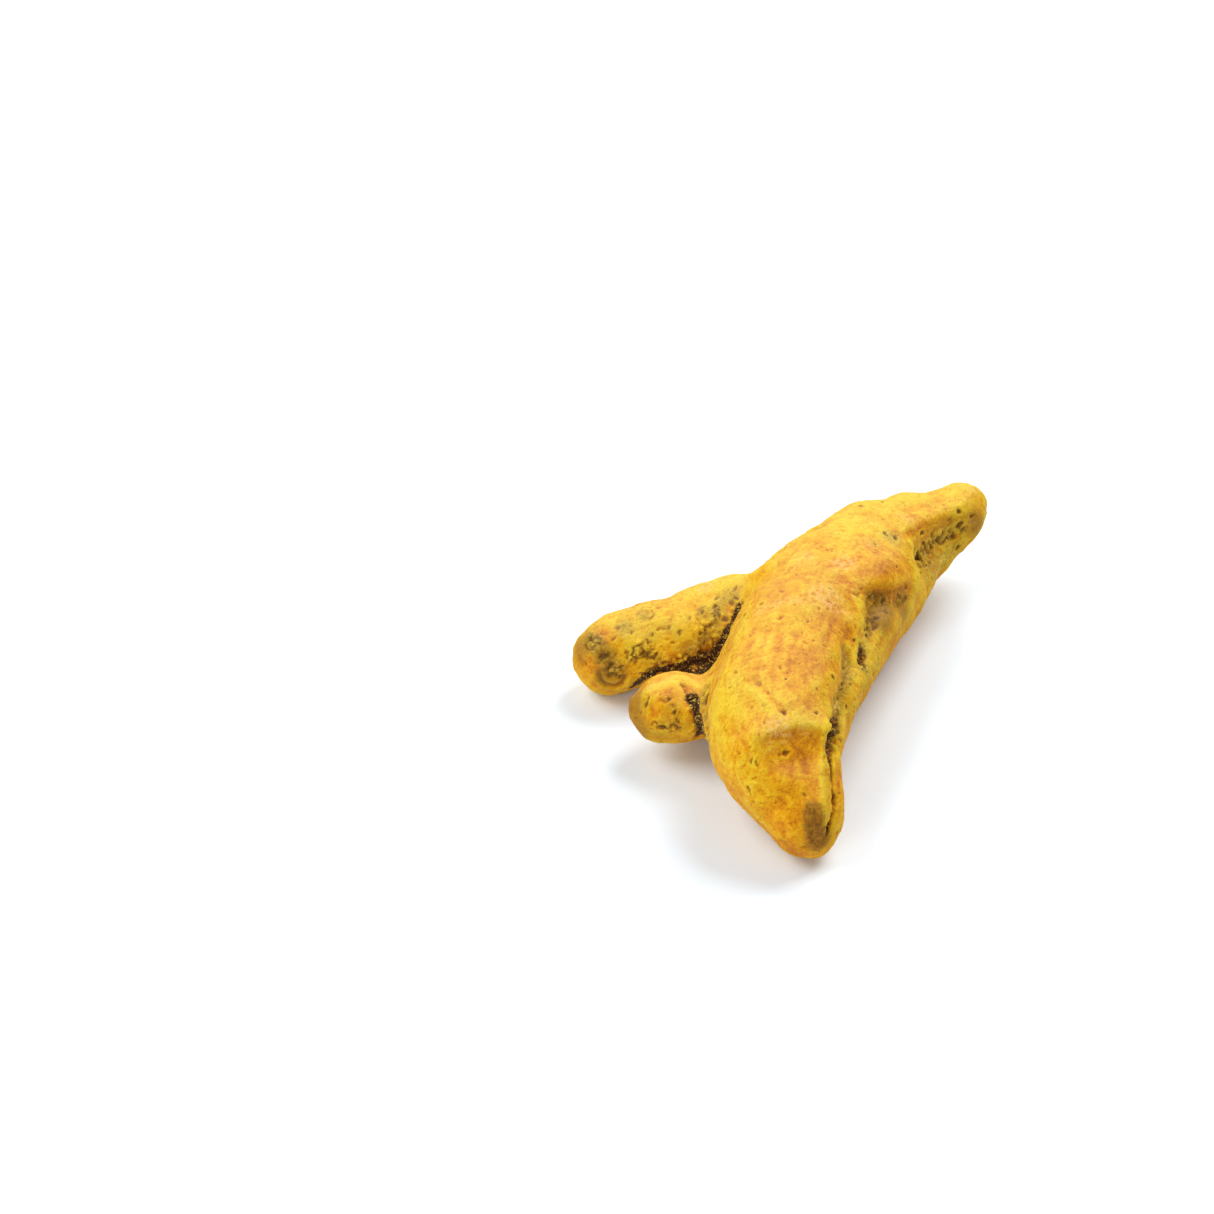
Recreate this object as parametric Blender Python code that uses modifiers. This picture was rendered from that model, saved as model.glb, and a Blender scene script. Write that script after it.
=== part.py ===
# A dried turmeric rhizome: one thick bent main piece, with a slimmer finger and a short bud grown out of
# its left flank. It grew as one piece, so it is one closed solid. Metres, +Z up. The main piece runs from
# its blunt front tip, at -Y, to its drawn-out raised tip, at +Y. The origin is on the surface that it lies
# on, in the middle of its length and its width.

import math

import bmesh
import bpy
import numpy as np
from mathutils import Matrix, Vector, noise

MM = 0.001
SKIN_COLOUR = (0.80, 0.47, 0.045, 1.0)
SKIN_ROUGHNESS = 0.85

# Each limb is a row of stations along its middle line, in millimetres:
# x, y, z of the middle, then half the width and half the height there.
MAIN_PIECE = [
    (3.2, -28.5, 3.2, 2.3, 2.2),
    (2.4, -26.5, 4.2, 3.9, 3.8),
    (0.9, -23.4, 6.2, 5.4, 5.4),
    (-1.1, -19.6, 8.2, 7.3, 6.9),
    (-1.2, -14.9, 9.3, 8.0, 7.6),
    (0.1, -8.3, 9.5, 8.4, 8.1),
    (2.2, -0.8, 9.3, 8.9, 8.2),
    (5.8, 7.5, 8.7, 8.9, 8.0),
    (10.2, 15.5, 8.0, 7.9, 7.2),
    (14.6, 20.4, 8.0, 6.3, 6.0),
    (18.6, 22.8, 8.7, 4.6, 4.4),
    (21.6, 25.0, 9.8, 3.5, 3.5),
    (24.1, 27.2, 11.5, 2.7, 3.0),
]
FINGER = [
    (-24.0, 4.5, 4.5, 3.2, 3.2),
    (-20.8, 4.0, 4.7, 4.2, 4.1),
    (-17.1, 4.3, 5.5, 4.7, 4.7),
    (-13.4, 5.4, 6.1, 4.7, 4.6),
    (-9.3, 6.9, 6.5, 4.9, 4.8),
    (-4.7, 7.6, 6.9, 5.2, 4.9),
    (0.0, 8.4, 7.6, 4.9, 4.8),
]
BUD = [
    (-17.8, -6.4, 5.7, 2.6, 2.5),
    (-15.4, -6.7, 5.9, 3.8, 3.7),
    (-12.4, -7.1, 6.2, 4.4, 4.3),
    (-10.2, -7.6, 6.6, 4.2, 4.1),
    (-8.6, -8.1, 7.0, 3.7, 3.7),
    (-7.2, -8.7, 7.4, 4.1, 4.1),
    (-3.0, -9.4, 8.0, 4.6, 4.6),
]
# Low tissue that fills the crotch between the finger, the bud and the main piece
WEB = [
    (-12.0, -1.6, 3.2, 2.0, 1.6),
    (-9.5, -1.0, 3.3, 2.8, 2.0),
    (-6.0, -0.4, 3.8, 3.6, 2.5),
    (-2.0, 0.6, 5.0, 4.0, 3.4),
]
LIMB_RINGS = 64
LIMB_SIDES = 36
LINE_STEPS = 200
DIRECTION_STEPS = 2

# The skin's grid and how often it is eased
GRID = 1.15 * MM
EASE_STEPS = 3
EASE_FACTOR = 0.5

# Strokes on the skin: a chain of points in millimetres, the stroke's half width, and how far
# it stands out of the skin, or sinks into it where the number is below zero.
STROKES = {
    "cross_ridge": ([(-3.4, -22.0, 14.0), (-1.2, -21.3, 14.9), (3.2, -20.2, 14.0)], 1.5, 0.8),
    "face_below_ridge": ([(-1.6, -24.0, 13.0), (1.6, -23.8, 12.8)], 2.4, -0.75),
    "front_hump": ([(0.4, -16.8, 16.6), (0.6, -14.0, 17.0)], 3.2, 0.35),
    "left_band": ([(-4.1, -13.6, 16.4), (-2.3, -17.6, 16.3), (-0.4, -19.6, 15.6)], 1.2, 0.3),
    "top_hump": ([(2.6, -3.4, 17.4), (3.6, -1.2, 17.4)], 4.4, 0.55),
    "dip_behind_hump": ([(8.6, 0.8, 15.8), (6.0, 5.0, 16.8)], 2.2, -0.45),
    "knob": ([(10.6, 6.6, 15.2), (13.0, 8.2, 13.8)], 2.8, 0.9),
    "knob_rim": ([(15.0, 13.0, 13.2), (15.6, 11.0, 11.9), (15.4, 9.2, 10.6)], 1.2, 0.5),
    "knob_foot": ([(10.4, 2.2, 14.2), (12.6, 3.6, 12.6), (14.4, 5.6, 11.0)], 1.3, -0.8),
    "tip_ledge": ([(14.1, 15.4, 14.1), (16.9, 18.9, 12.9), (21.6, 22.4, 12.3)], 1.5, 0.6),
    "hollow_under_tip": ([(16.5, 13.6, 11.4), (18.3, 16.8, 10.9), (20.2, 19.2, 10.6)], 2.0, -0.9),
    "flank_furrow": ([(11.0, 2.4, 14.0), (9.9, -1.1, 13.9), (7.8, -8.0, 13.4)], 1.4, -0.7),
    "flank_furrow_front": ([(6.9, -8.6, 14.4), (6.2, -11.9, 14.0), (5.5, -15.4, 13.5)], 1.3, -0.55),
    "flank_roll": ([(13.4, 4.6, 11.0), (9.9, -5.1, 10.8), (7.9, -11.3, 10.8)], 2.2, 0.45),
    "slit_lip": ([(4.0, -19.6, 13.6), (3.4, -25.4, 10.1), (3.2, -27.4, 8.0)], 1.0, 0.35),
    "crotch": ([(-5.1, 4.2, 12.0), (-6.5, 2.1, 9.6), (-8.0, 1.2, 7.4)], 1.5, -0.6),
    "bud_neck": ([(-9.6, -6.0, 10.4), (-9.9, -9.8, 9.8), (-8.4, -10.8, 3.4)], 1.2, -0.6),
    "finger_waist": ([(-13.2, 8.4, 8.8), (-13.2, 4.6, 10.7), (-13.9, 1.2, 8.8)], 1.6, -0.45),
    "finger_knuckle": ([(-17.6, 4.0, 10.2), (-16.6, 1.4, 9.0)], 2.0, 0.35),
    "back_ridge": ([(-1.6, 9.6, 13.8), (4.4, 14.6, 12.6), (9.8, 20.6, 11.6)], 2.0, 0.5),
    "back_hollow": ([(1.6, 14.2, 9.0), (6.6, 19.6, 8.2)], 2.2, -0.7),
    "left_hollow": ([(-8.2, -14.6, 7.4), (-6.6, -19.6, 6.0)], 2.4, -0.25),
    "front_left_flat": ([(-6.9, -23.1, 6.7), (-5.5, -23.9, 4.8)], 2.6, -0.9),
    "flank_dip": ([(13.8, 5.9, 4.7), (12.2, 4.0, 4.0)], 2.2, -0.8),
    "waist_dip": ([(8.6, -9.8, 8.6), (7.9, -10.9, 7.5)], 2.2, -0.6),
}

# Lumps all over, broad ones and small ones: their size and their height in millimetres
LUMPS = [(7.5, 0.45), (3.4, 0.22)]

# Growth rings round every limb, uneven round its girth
RING_GAP = 5.2 * MM
RING_HALF_WIDTH = 0.9 * MM
RING_DEPTH = 0.14 * MM
RING_WANDER = 1.6 * MM
RING_WANDER_SIZE = 11.0 * MM

# The open slit down the front right flank and the larger pits, as stations like a limb's
SLIT = [
    (5.2, -16.6, 13.6, 0.4, 0.4),
    (5.2, -18.6, 13.1, 1.0, 0.9),
    (4.8, -20.6, 12.5, 0.9, 1.0),
    (4.2, -22.7, 11.6, 0.5, 0.8),
    (4.2, -24.5, 10.2, 0.35, 0.7),
    (4.1, -26.4, 8.5, 0.4, 0.6),
    (4.0, -27.5, 7.1, 0.4, 0.6),
    (4.0, -28.0, 5.8, 0.3, 0.4),
]
LONG_PIT = [
    (8.6, -5.7, 13.5, 0.4, 0.5),
    (8.4, -6.9, 13.1, 0.7, 0.8),
    (7.8, -8.3, 12.9, 0.4, 0.5),
]
CUT_RINGS = 18
CUT_SIDES = 8
# Round pits: x, y, z and radius in millimetres
PIT_FINENESS = 2
ROUND_PITS = [
    (16.3, 13.4, 11.2, 0.7),
    (10.5, -0.3, 13.0, 0.6),
    (-0.5, -24.0, 12.4, 0.55),
]

# Where it touches the surface it lies on, how wide each low place is, and how much is cut flat
RESTS = [(1.6, -25.4), (-20.8, 4.2), (10.2, 15.2)]
REST_REACH = 5.0 * MM
REST_FLAT = 0.25 * MM
UNDERSIDE = 0.5
GROUND_BLOCK = 90.0 * MM


def wipe_scene():
    for thing in list(bpy.data.objects):
        bpy.data.objects.remove(thing, do_unlink=True)


def collection(name):
    made = bpy.data.collections.new(name)
    bpy.context.scene.collection.children.link(made)
    return made


def station_at(stations, share):
    """The five numbers at this share of the way along, on a smooth curve through the stations."""
    place = share * (len(stations) - 1)
    k = min(int(place), len(stations) - 2)
    t = place - k
    rows = [stations[min(max(k + step, 0), len(stations) - 1)] for step in (-1, 0, 1, 2)]
    weights = (
        -0.5 * t + t * t - 0.5 * t**3,
        1 - 2.5 * t * t + 1.5 * t**3,
        0.5 * t + 2 * t * t - 1.5 * t**3,
        -0.5 * t * t + 0.5 * t**3,
    )
    return [MM * sum(w * row[i] for w, row in zip(weights, rows)) for i in range(5)]


def middle_line(stations):
    """Samples along a limb, and how far along it each one is."""
    samples = np.array([station_at(stations, i / LINE_STEPS) for i in range(LINE_STEPS + 1)])
    steps = np.linalg.norm(np.diff(samples[:, :3], axis=0), axis=1)
    return samples, np.concatenate([[0.0], np.cumsum(steps)])


def link_mesh(name, body, home):
    mesh = bpy.data.meshes.new(name)
    body.to_mesh(mesh)
    body.free()
    made = bpy.data.objects.new(name, mesh)
    home.objects.link(made)
    return made


def limb(name, stations, home, rings=LIMB_RINGS, sides=LIMB_SIDES):
    """A round-ended limb: a UV sphere whose rings are laid out along the limb's middle line."""
    body = bmesh.new()
    bmesh.ops.create_uvsphere(body, u_segments=sides, v_segments=rings, radius=1.0)
    samples, reach = middle_line(stations)
    for vert in body.verts:
        share = 0.5 + math.asin(max(-1.0, min(1.0, vert.co.z))) / math.pi
        k = round(share * LINE_STEPS)
        half_width, half_height = samples[k][3:]
        ahead = samples[min(k + DIRECTION_STEPS, LINE_STEPS)]
        behind = samples[max(k - DIRECTION_STEPS, 0)]
        along = Vector(ahead[:3]) - Vector(behind[:3])
        side = along.cross(Vector((0, 0, 1))).normalized()
        up = side.cross(along.normalized())
        rounding = 1.0
        for gap, end in ((reach[k], samples[0][3]), (reach[-1] - reach[k], samples[-1][3])):
            if gap < end:
                rounding = min(rounding, math.sqrt(1 - (1 - gap / end) ** 2))
        angle = math.atan2(vert.co.y, vert.co.x)
        out = side * math.cos(angle) * half_width + up * math.sin(angle) * half_height
        vert.co = Vector(samples[k][:3]) + out * rounding
    bmesh.ops.recalc_face_normals(body, faces=body.faces)
    return link_mesh(name, body, home)


def round_pit(name, centre, radius, home):
    body = bmesh.new()
    bmesh.ops.create_icosphere(body, subdivisions=PIT_FINENESS, radius=radius)
    bmesh.ops.translate(body, verts=body.verts, vec=centre)
    return link_mesh(name, body, home)


def ground_block(home):
    """A block whose top is the surface that the rhizome lies on."""
    body = bmesh.new()
    bmesh.ops.create_cube(body, size=GROUND_BLOCK)
    bmesh.ops.translate(body, verts=body.verts, vec=(0, 0, -GROUND_BLOCK / 2))
    return link_mesh("ground_block", body, home)


def hide(thing):
    thing.hide_render = True
    thing.display_type = "WIRE"


def add_boolean(thing, other, operation):
    cut = thing.modifiers.new(other.name, "BOOLEAN")
    cut.operation = operation
    cut.object = other
    cut.solver = "EXACT"
    hide(other)


def plain_form(helpers):
    """The limbs grown together, on one even grid of faces."""
    grown = limb("main_form", MAIN_PIECE, helpers)
    for name, stations in (("finger_form", FINGER), ("bud_form", BUD), ("web_form", WEB)):
        add_boolean(grown, limb(name, stations, helpers), "UNION")
    grid = grown.modifiers.new("even_grid", "REMESH")
    grid.mode = "VOXEL"
    grid.voxel_size = GRID
    ease = grown.modifiers.new("ease", "SMOOTH")
    ease.factor = EASE_FACTOR
    ease.iterations = EASE_STEPS
    hide(grown)
    graph = bpy.context.evaluated_depsgraph_get()
    return bpy.data.meshes.new_from_object(grown.evaluated_get(graph), depsgraph=graph)


def distance_to_chain(points, chain):
    nearest = np.full(len(points), np.inf)
    for start, end in zip(chain, chain[1:]):
        run = end - start
        share = np.clip((points - start) @ run / (run @ run), 0.0, 1.0)
        away = np.linalg.norm(points - start - share[:, None] * run, axis=1)
        nearest = np.minimum(nearest, away)
    return nearest


def noise_at(points, size):
    return np.array([noise.noise(Vector(point) / size) for point in points])


def ring_depth(points):
    """How deep the growth rings go at each point, on the limb that the point belongs to."""
    closest = np.full(len(points), np.inf)
    place = np.zeros(len(points))
    for stations in (MAIN_PIECE, FINGER, BUD):
        samples, reach = middle_line(stations)
        away = np.linalg.norm(points[:, None] - samples[None, :, :3], axis=2) / samples[:, 3]
        nearer = away.min(axis=1) < closest
        closest[nearer] = away.min(axis=1)[nearer]
        place[nearer] = reach[away.argmin(axis=1)][nearer]
    wander = noise_at(points, RING_WANDER_SIZE)
    from_ring = (place + RING_WANDER * wander) % RING_GAP - RING_GAP / 2
    return RING_DEPTH * (1 + wander) * np.exp(-((from_ring / RING_HALF_WIDTH) ** 2))


def skin_rise(points):
    """How far the skin stands out at each point: the strokes, the lumps and the rings."""
    rise = -ring_depth(points)
    for chain, half_width, height in STROKES.values():
        away = distance_to_chain(points, MM * np.array(chain))
        rise += MM * height * np.exp(-((away / (MM * half_width)) ** 2))
    for size, height in LUMPS:
        rise += MM * height * noise_at(points, MM * size)
    return rise


def settle_on_rests(points, normals):
    """Draws the underside down at each rest, a little below the surface that it lies on."""
    facing_down = np.clip(-normals[:, 2], 0.0, 1.0)
    for x, y in RESTS:
        away = np.hypot(points[:, 0] - MM * x, points[:, 1] - MM * y)
        under = (away < REST_REACH) & (facing_down > UNDERSIDE)
        drop = points[under, 2].min() + REST_FLAT
        points[:, 2] -= drop * facing_down * np.exp(-((away / REST_REACH) ** 2))


def shape_skin(mesh):
    """Gives the plain form its skin and its rests. Returns the middle of its box, seen from above."""
    points = np.array([vert.co for vert in mesh.vertices])
    normals = np.array([vert.normal for vert in mesh.vertices])
    points += normals * skin_rise(points)[:, None]
    settle_on_rests(points, normals)
    mesh.vertices.foreach_set("co", points.ravel())
    x, y, _ = (points.min(axis=0) + points.max(axis=0)) / 2
    return Vector((x, y, 0))


def skin_material():
    skin = bpy.data.materials.new("dried_skin")
    skin.use_nodes = True
    shader = skin.node_tree.nodes["Principled BSDF"]
    shader.inputs["Base Color"].default_value = SKIN_COLOUR
    shader.inputs["Roughness"].default_value = SKIN_ROUGHNESS
    shader.inputs["Metallic"].default_value = 0.0
    return skin


def main():
    wipe_scene()
    parts = collection("turmeric_rhizome")
    helpers = collection("helpers")
    mesh = plain_form(helpers)
    middle = shape_skin(mesh)
    mesh.transform(Matrix.Translation(-middle))
    mesh.shade_smooth()
    mesh.materials.append(skin_material())
    rhizome = bpy.data.objects.new("rhizome", mesh)
    parts.objects.link(rhizome)
    cutters = [
        limb("slit_form", SLIT, helpers, CUT_RINGS, CUT_SIDES),
        limb("long_pit_form", LONG_PIT, helpers, CUT_RINGS, CUT_SIDES),
    ]
    for number, (x, y, z, radius) in enumerate(ROUND_PITS, start=1):
        centre = MM * Vector((x, y, z))
        cutters.append(round_pit(f"round_pit_form_{number}", centre, MM * radius, helpers))
    for cutter in cutters:
        cutter.location = -middle
        add_boolean(rhizome, cutter, "DIFFERENCE")
    add_boolean(rhizome, ground_block(helpers), "DIFFERENCE")


main()
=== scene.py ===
import math

import bmesh
import bpy
import numpy as np
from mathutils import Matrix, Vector, noise
from mathutils.bvhtree import BVHTree
from mathutils.kdtree import KDTree


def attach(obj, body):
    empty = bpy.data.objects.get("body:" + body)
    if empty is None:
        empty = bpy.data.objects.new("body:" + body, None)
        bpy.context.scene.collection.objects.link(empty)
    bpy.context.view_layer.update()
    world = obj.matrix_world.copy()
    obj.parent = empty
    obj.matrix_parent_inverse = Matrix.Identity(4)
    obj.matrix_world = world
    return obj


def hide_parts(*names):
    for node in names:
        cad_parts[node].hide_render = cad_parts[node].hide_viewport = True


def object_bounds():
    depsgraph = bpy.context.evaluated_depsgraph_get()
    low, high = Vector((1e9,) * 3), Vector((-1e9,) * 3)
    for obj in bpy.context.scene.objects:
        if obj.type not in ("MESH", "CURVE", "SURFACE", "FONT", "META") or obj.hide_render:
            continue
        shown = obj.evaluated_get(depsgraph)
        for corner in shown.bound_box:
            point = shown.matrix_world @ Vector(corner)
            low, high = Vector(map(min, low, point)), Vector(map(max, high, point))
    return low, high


# A dried turmeric rhizome lying on a white table. The solid gives the form. Its skin is laid on a finer
# grid here, carved with wrinkles, steps, pits and a slit, and dusted with colour.
# Places and sizes are in millimetres unless a note says otherwise.

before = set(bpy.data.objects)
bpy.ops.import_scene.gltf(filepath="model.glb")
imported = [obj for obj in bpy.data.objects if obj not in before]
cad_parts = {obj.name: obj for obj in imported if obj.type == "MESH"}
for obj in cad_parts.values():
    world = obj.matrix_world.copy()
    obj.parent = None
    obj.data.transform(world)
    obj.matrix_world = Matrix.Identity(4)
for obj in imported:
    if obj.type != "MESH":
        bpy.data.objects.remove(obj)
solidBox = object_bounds()
mm = 0.001
print("solid loaded")

viewFinder = {
    "place": (-20.36, -374.66, 307.83),
    "tilt": 52.0,  # degrees, from looking straight down
    "lens": 125.65,
    "sensor": 36.0,
}


def setCamera():
    body = bpy.data.cameras.new("camera")
    body.lens = viewFinder["lens"]
    body.sensor_width = viewFinder["sensor"]
    body.clip_start = 0.01
    body.clip_end = 20.0
    camera = bpy.data.objects.new("camera", body)
    bpy.context.scene.collection.objects.link(camera)
    camera.location = mm * Vector(viewFinder["place"])
    camera.rotation_euler = (math.radians(viewFinder["tilt"]), 0.0, 0.0)
    bpy.context.scene.camera = camera


setCamera()
print("camera set")

table = {
    "halfWidth": 6000.0,
    "colour": (0.86, 0.855, 0.85, 1.0),
    "roughness": 0.55,
}
# Each soft square light, all of them facing the middle of the table: place, width, watts
lights = {
    "back_right": ((409, 409, 689), 600, 9.0),
    "left_side": ((-579, 0, 689), 600, 6.2),
    "front_low": ((-408, -706, 380), 400, 3.2),
    "back_low": ((0, 816, 380), 400, 1.2),
}
lightColour = (0.85, 0.93, 1.0)
room = {"colour": (0.86, 0.93, 1.0, 1.0), "strength": 0.26}


def plainMaterial(name, colour, roughness):
    made = bpy.data.materials.new(name)
    made.use_nodes = True
    shader = made.node_tree.nodes["Principled BSDF"]
    shader.inputs["Base Color"].default_value = colour
    shader.inputs["Roughness"].default_value = roughness
    return made


def setTable():
    top = bmesh.new()
    bmesh.ops.create_grid(top, x_segments=1, y_segments=1, size=mm * table["halfWidth"])
    mesh = bpy.data.meshes.new("table_top")
    top.to_mesh(mesh)
    top.free()
    mesh.materials.append(plainMaterial("white_table", table["colour"], table["roughness"]))
    tableTop = bpy.data.objects.new("table_top", mesh)
    bpy.context.scene.collection.objects.link(tableTop)


def setLights():
    for name, (place, width, watts) in lights.items():
        lamp = bpy.data.lights.new(name, "AREA")
        lamp.shape = "SQUARE"
        lamp.size = mm * width
        lamp.energy = watts
        lamp.color = lightColour
        holder = bpy.data.objects.new(name, lamp)
        bpy.context.scene.collection.objects.link(holder)
        holder.location = mm * Vector(place)
        holder.rotation_euler = (-Vector(place)).to_track_quat("-Z", "Y").to_euler()
    world = bpy.data.worlds.new("room")
    world.use_nodes = True
    glow = world.node_tree.nodes["Background"]
    glow.inputs["Color"].default_value = room["colour"]
    glow.inputs["Strength"].default_value = room["strength"]
    bpy.context.scene.world = world
    bpy.context.scene.view_settings.view_transform = "Standard"


setTable()
setLights()
print("table and lights set")

skinGrid = {
    "weld": 0.001,
    "coarse": 0.475,
    "easeRounds": 9,
    "easeIn": 0.5,
    "easeBack": -0.53,
    "finerLevels": 1,
    "broadRounds": 14,  # how widely the lifting direction is evened out
    "looks": 40,  # directions that each point looks in to tell how sheltered it is
    "lookReach": 6.0,
    "lookFrom": 0.15,  # how far above the skin
    "leastFacing": 0.15,  # how squarely a look has to leave the skin to count
}


def smoothStep(low, high, value):
    share = np.clip((value - low) / (high - low), 0.0, 1.0)
    return share * share * (3 - 2 * share)


def readPlaces(mesh):
    flat = np.empty(len(mesh.vertices) * 3)
    mesh.vertices.foreach_get("co", flat)
    return flat.reshape(-1, 3) / mm


def writePlaces(mesh, points):
    mesh.vertices.foreach_set("co", (points * mm).ravel())
    mesh.update()


def readNormals(mesh):
    flat = np.empty(len(mesh.vertices) * 3)
    mesh.vertices.foreach_get("normal", flat)
    return flat.reshape(-1, 3)


def readEdges(mesh):
    flat = np.empty(len(mesh.edges) * 2, dtype=np.int64)
    mesh.edges.foreach_get("vertices", flat)
    return flat.reshape(-1, 2)


def neighbourMean(values, edges):
    a, b = edges[:, 0], edges[:, 1]
    count = len(values)
    links = np.bincount(a, minlength=count) + np.bincount(b, minlength=count)
    total = np.empty_like(values)
    for k in range(values.shape[1]):
        total[:, k] = np.bincount(a, values[b, k], count) + np.bincount(b, values[a, k], count)
    return total / links[:, None]


def spread(values, edges, rounds):
    for _ in range(rounds):
        values = 0.5 * values + 0.5 * neighbourMean(values, edges)
    return values


def unit(rows):
    return rows / np.maximum(np.linalg.norm(rows, axis=1), 1e-9)[:, None]


def meshFrom(thing):
    graph = bpy.context.evaluated_depsgraph_get()
    return bpy.data.meshes.new_from_object(thing.evaluated_get(graph), depsgraph=graph)


# How open the sky is above each point: 1 out in the open, 0 deep in a gap
def openness(points, normals, mesh):
    mesh.calc_loop_triangles()
    corners = [tuple(t.vertices) for t in mesh.loop_triangles]
    tree = BVHTree.FromPolygons([Vector(p) for p in points.tolist()], corners)
    turn = math.pi * (3 - math.sqrt(5))
    looks = []
    for k in range(skinGrid["looks"]):
        z = 1 - (2 * k + 1) / skinGrid["looks"]
        r = math.sqrt(1 - z * z)
        looks.append(Vector((r * math.cos(turn * k), r * math.sin(turn * k), z)))
    free = np.empty(len(points))
    for k, (point, normal) in enumerate(zip(points.tolist(), normals.tolist())):
        normal = Vector(normal)
        start = Vector(point) + skinGrid["lookFrom"] * normal
        seen = total = 0.0
        for look in looks:
            share = look.dot(normal)
            if share > skinGrid["leastFacing"]:
                total += share
                if tree.ray_cast(start, look, skinGrid["lookReach"])[0] is None:
                    seen += share
        free[k] = seen / total
    return free


# The solid's form on an even, finer grid, with its small facets eased away
def layFineGrid(solid):
    body = bmesh.new()
    body.from_mesh(solid.data)
    bmesh.ops.remove_doubles(body, verts=body.verts, dist=mm * skinGrid["weld"])
    mesh = bpy.data.meshes.new("rhizome_skin")
    body.to_mesh(mesh)
    body.free()
    piece = bpy.data.objects.new("rhizome_skin", mesh)
    bpy.context.scene.collection.objects.link(piece)
    grid = piece.modifiers.new("even_grid", "REMESH")
    grid.mode = "VOXEL"
    grid.voxel_size = mm * skinGrid["coarse"]
    coarse = meshFrom(piece)
    piece.modifiers.clear()
    points = readPlaces(coarse)
    edges = readEdges(coarse)
    for _ in range(skinGrid["easeRounds"]):
        for pull in (skinGrid["easeIn"], skinGrid["easeBack"]):
            points += pull * (neighbourMean(points, edges) - points)
    writePlaces(coarse, points)
    sky = coarse.attributes.new("sky", "FLOAT", "POINT")
    sky.data.foreach_set("value", openness(points, readNormals(coarse), coarse))
    piece.data = coarse
    finer = piece.modifiers.new("finer", "SUBSURF")
    finer.levels = skinGrid["finerLevels"]
    finer.render_levels = skinGrid["finerLevels"]
    fine = meshFrom(piece)
    piece.modifiers.clear()
    piece.data = fine
    return piece


skin = layFineGrid(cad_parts["rhizome"])
mesh = skin.data
points = readPlaces(mesh)
edges = readEdges(mesh)
normals = unit(spread(readNormals(mesh), edges, skinGrid["broadRounds"]))
sky = np.empty(len(points))
mesh.attributes["sky"].data.foreach_get("value", sky)
nearest = KDTree(len(points))
for k, point in enumerate(points.tolist()):
    nearest.insert(point, k)
nearest.balance()
print("fine grid laid:", len(mesh.vertices), "points,", len(mesh.polygons), "faces")

# Middle lines of the three limbs: x, y, z and about how thick they are there
limbLines = {
    "main": [
        (2.85, -28.1, 3.2, 2.3), (0.55, -23.0, 6.2, 5.4), (-1.45, -19.2, 8.2, 7.2), (-1.55, -14.5, 9.3, 7.9),
        (-0.25, -7.9, 9.5, 8.3), (1.85, -0.4, 9.3, 8.7), (5.45, 7.9, 8.7, 8.7), (9.85, 15.9, 8.0, 7.7),
        (14.25, 20.8, 8.0, 6.2), (18.25, 23.2, 8.7, 4.5), (24.25, 27.5, 11.0, 2.9),
    ],
    "finger": [
        (-24.35, 4.9, 4.5, 3.2), (-21.15, 4.4, 4.7, 4.2), (-17.45, 4.7, 5.5, 4.7), (-13.75, 5.8, 6.1, 4.7),
        (-9.65, 7.3, 6.5, 4.8), (-5.05, 8.0, 6.9, 5.0), (-0.35, 8.8, 7.6, 4.8),
    ],
    "bud": [
        (-18.15, -6.0, 5.7, 2.6), (-15.75, -6.3, 5.9, 3.8), (-12.75, -6.7, 6.2, 4.3),
        (-10.55, -7.2, 6.6, 4.1), (-7.55, -8.3, 7.4, 4.1), (-3.35, -9.0, 8.0, 4.6),
    ],
}
limbBlend = 9.0  # how sharply one limb's grain gives way to the next one's
leastShare = 0.02  # of a limb, for it to count at a point
easing = {"ahead": 20, "along": 12}  # rounds that even out each limb's directions


# The places where a noise of some size is read: each seed moves them elsewhere
def placesFor(places, size, seed):
    shift = Vector((7.31 * seed, 3.17 * seed, 5.73 * seed))
    return [Vector(row) + shift for row in (places / size).tolist()]


def noiseAt(places, size, seed):
    return np.array([noise.noise(row) for row in placesFor(places, size, seed)])


def roughAt(places, size, seed, roughness=0.75, step=2.1, octaves=4):
    return np.array([noise.fractal(row, roughness, step, octaves) for row in placesFor(places, size, seed)])


# How far each point is from the edge between two cells, and how far from its own cell's middle
def cellsAt(places, size, seed):
    reach = np.array([noise.voronoi(row)[0][:2] for row in placesFor(places, size, seed)])
    return reach[:, 1] - reach[:, 0], reach[:, 0]


# Each limb's own directions: how far along it, and how far out to its side and its top
def limbFrames():
    frames = []
    for line in limbLines.values():
        line = np.array(line, dtype=float)
        starts, ends = line[:-1], line[1:]
        lengths = np.linalg.norm(ends[:, :3] - starts[:, :3], axis=1)
        before = np.concatenate([[0.0], np.cumsum(lengths)])
        best = np.full(len(points), np.inf)
        along = np.zeros(len(points))
        offset = np.zeros_like(points)
        ahead = np.zeros_like(points)
        for k, (start, end) in enumerate(zip(starts, ends)):
            run = (end - start)[:3]
            share = np.clip((points - start[:3]) @ run / (run @ run), 0.0, 1.0)
            away = points - start[:3] - share[:, None] * run
            thick = start[3] + share * (end[3] - start[3])
            close = np.linalg.norm(away, axis=1) / thick
            nearer = close < best
            best[nearer] = close[nearer]
            along[nearer] = (before[k] + share * lengths[k])[nearer]
            offset[nearer] = away[nearer]
            ahead[nearer] = run / lengths[k]
        ahead = unit(spread(ahead, edges, easing["ahead"]))
        along = spread(along[:, None], edges, easing["along"])[:, 0]
        side = unit(np.cross(ahead, (0.0, 0.0, 1.0)))
        up = np.cross(side, ahead)
        out = np.stack([(offset * side).sum(axis=1), (offset * up).sum(axis=1)], axis=1)
        frames.append({"close": best, "along": along, "out": out, "ahead": ahead})
    least = np.min([limb["close"] for limb in frames], axis=0)
    total = sum(np.exp(-limbBlend * (limb["close"] - least)) for limb in frames)
    for limb in frames:
        limb["share"] = np.exp(-limbBlend * (limb["close"] - least)) / total
    return frames


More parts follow.
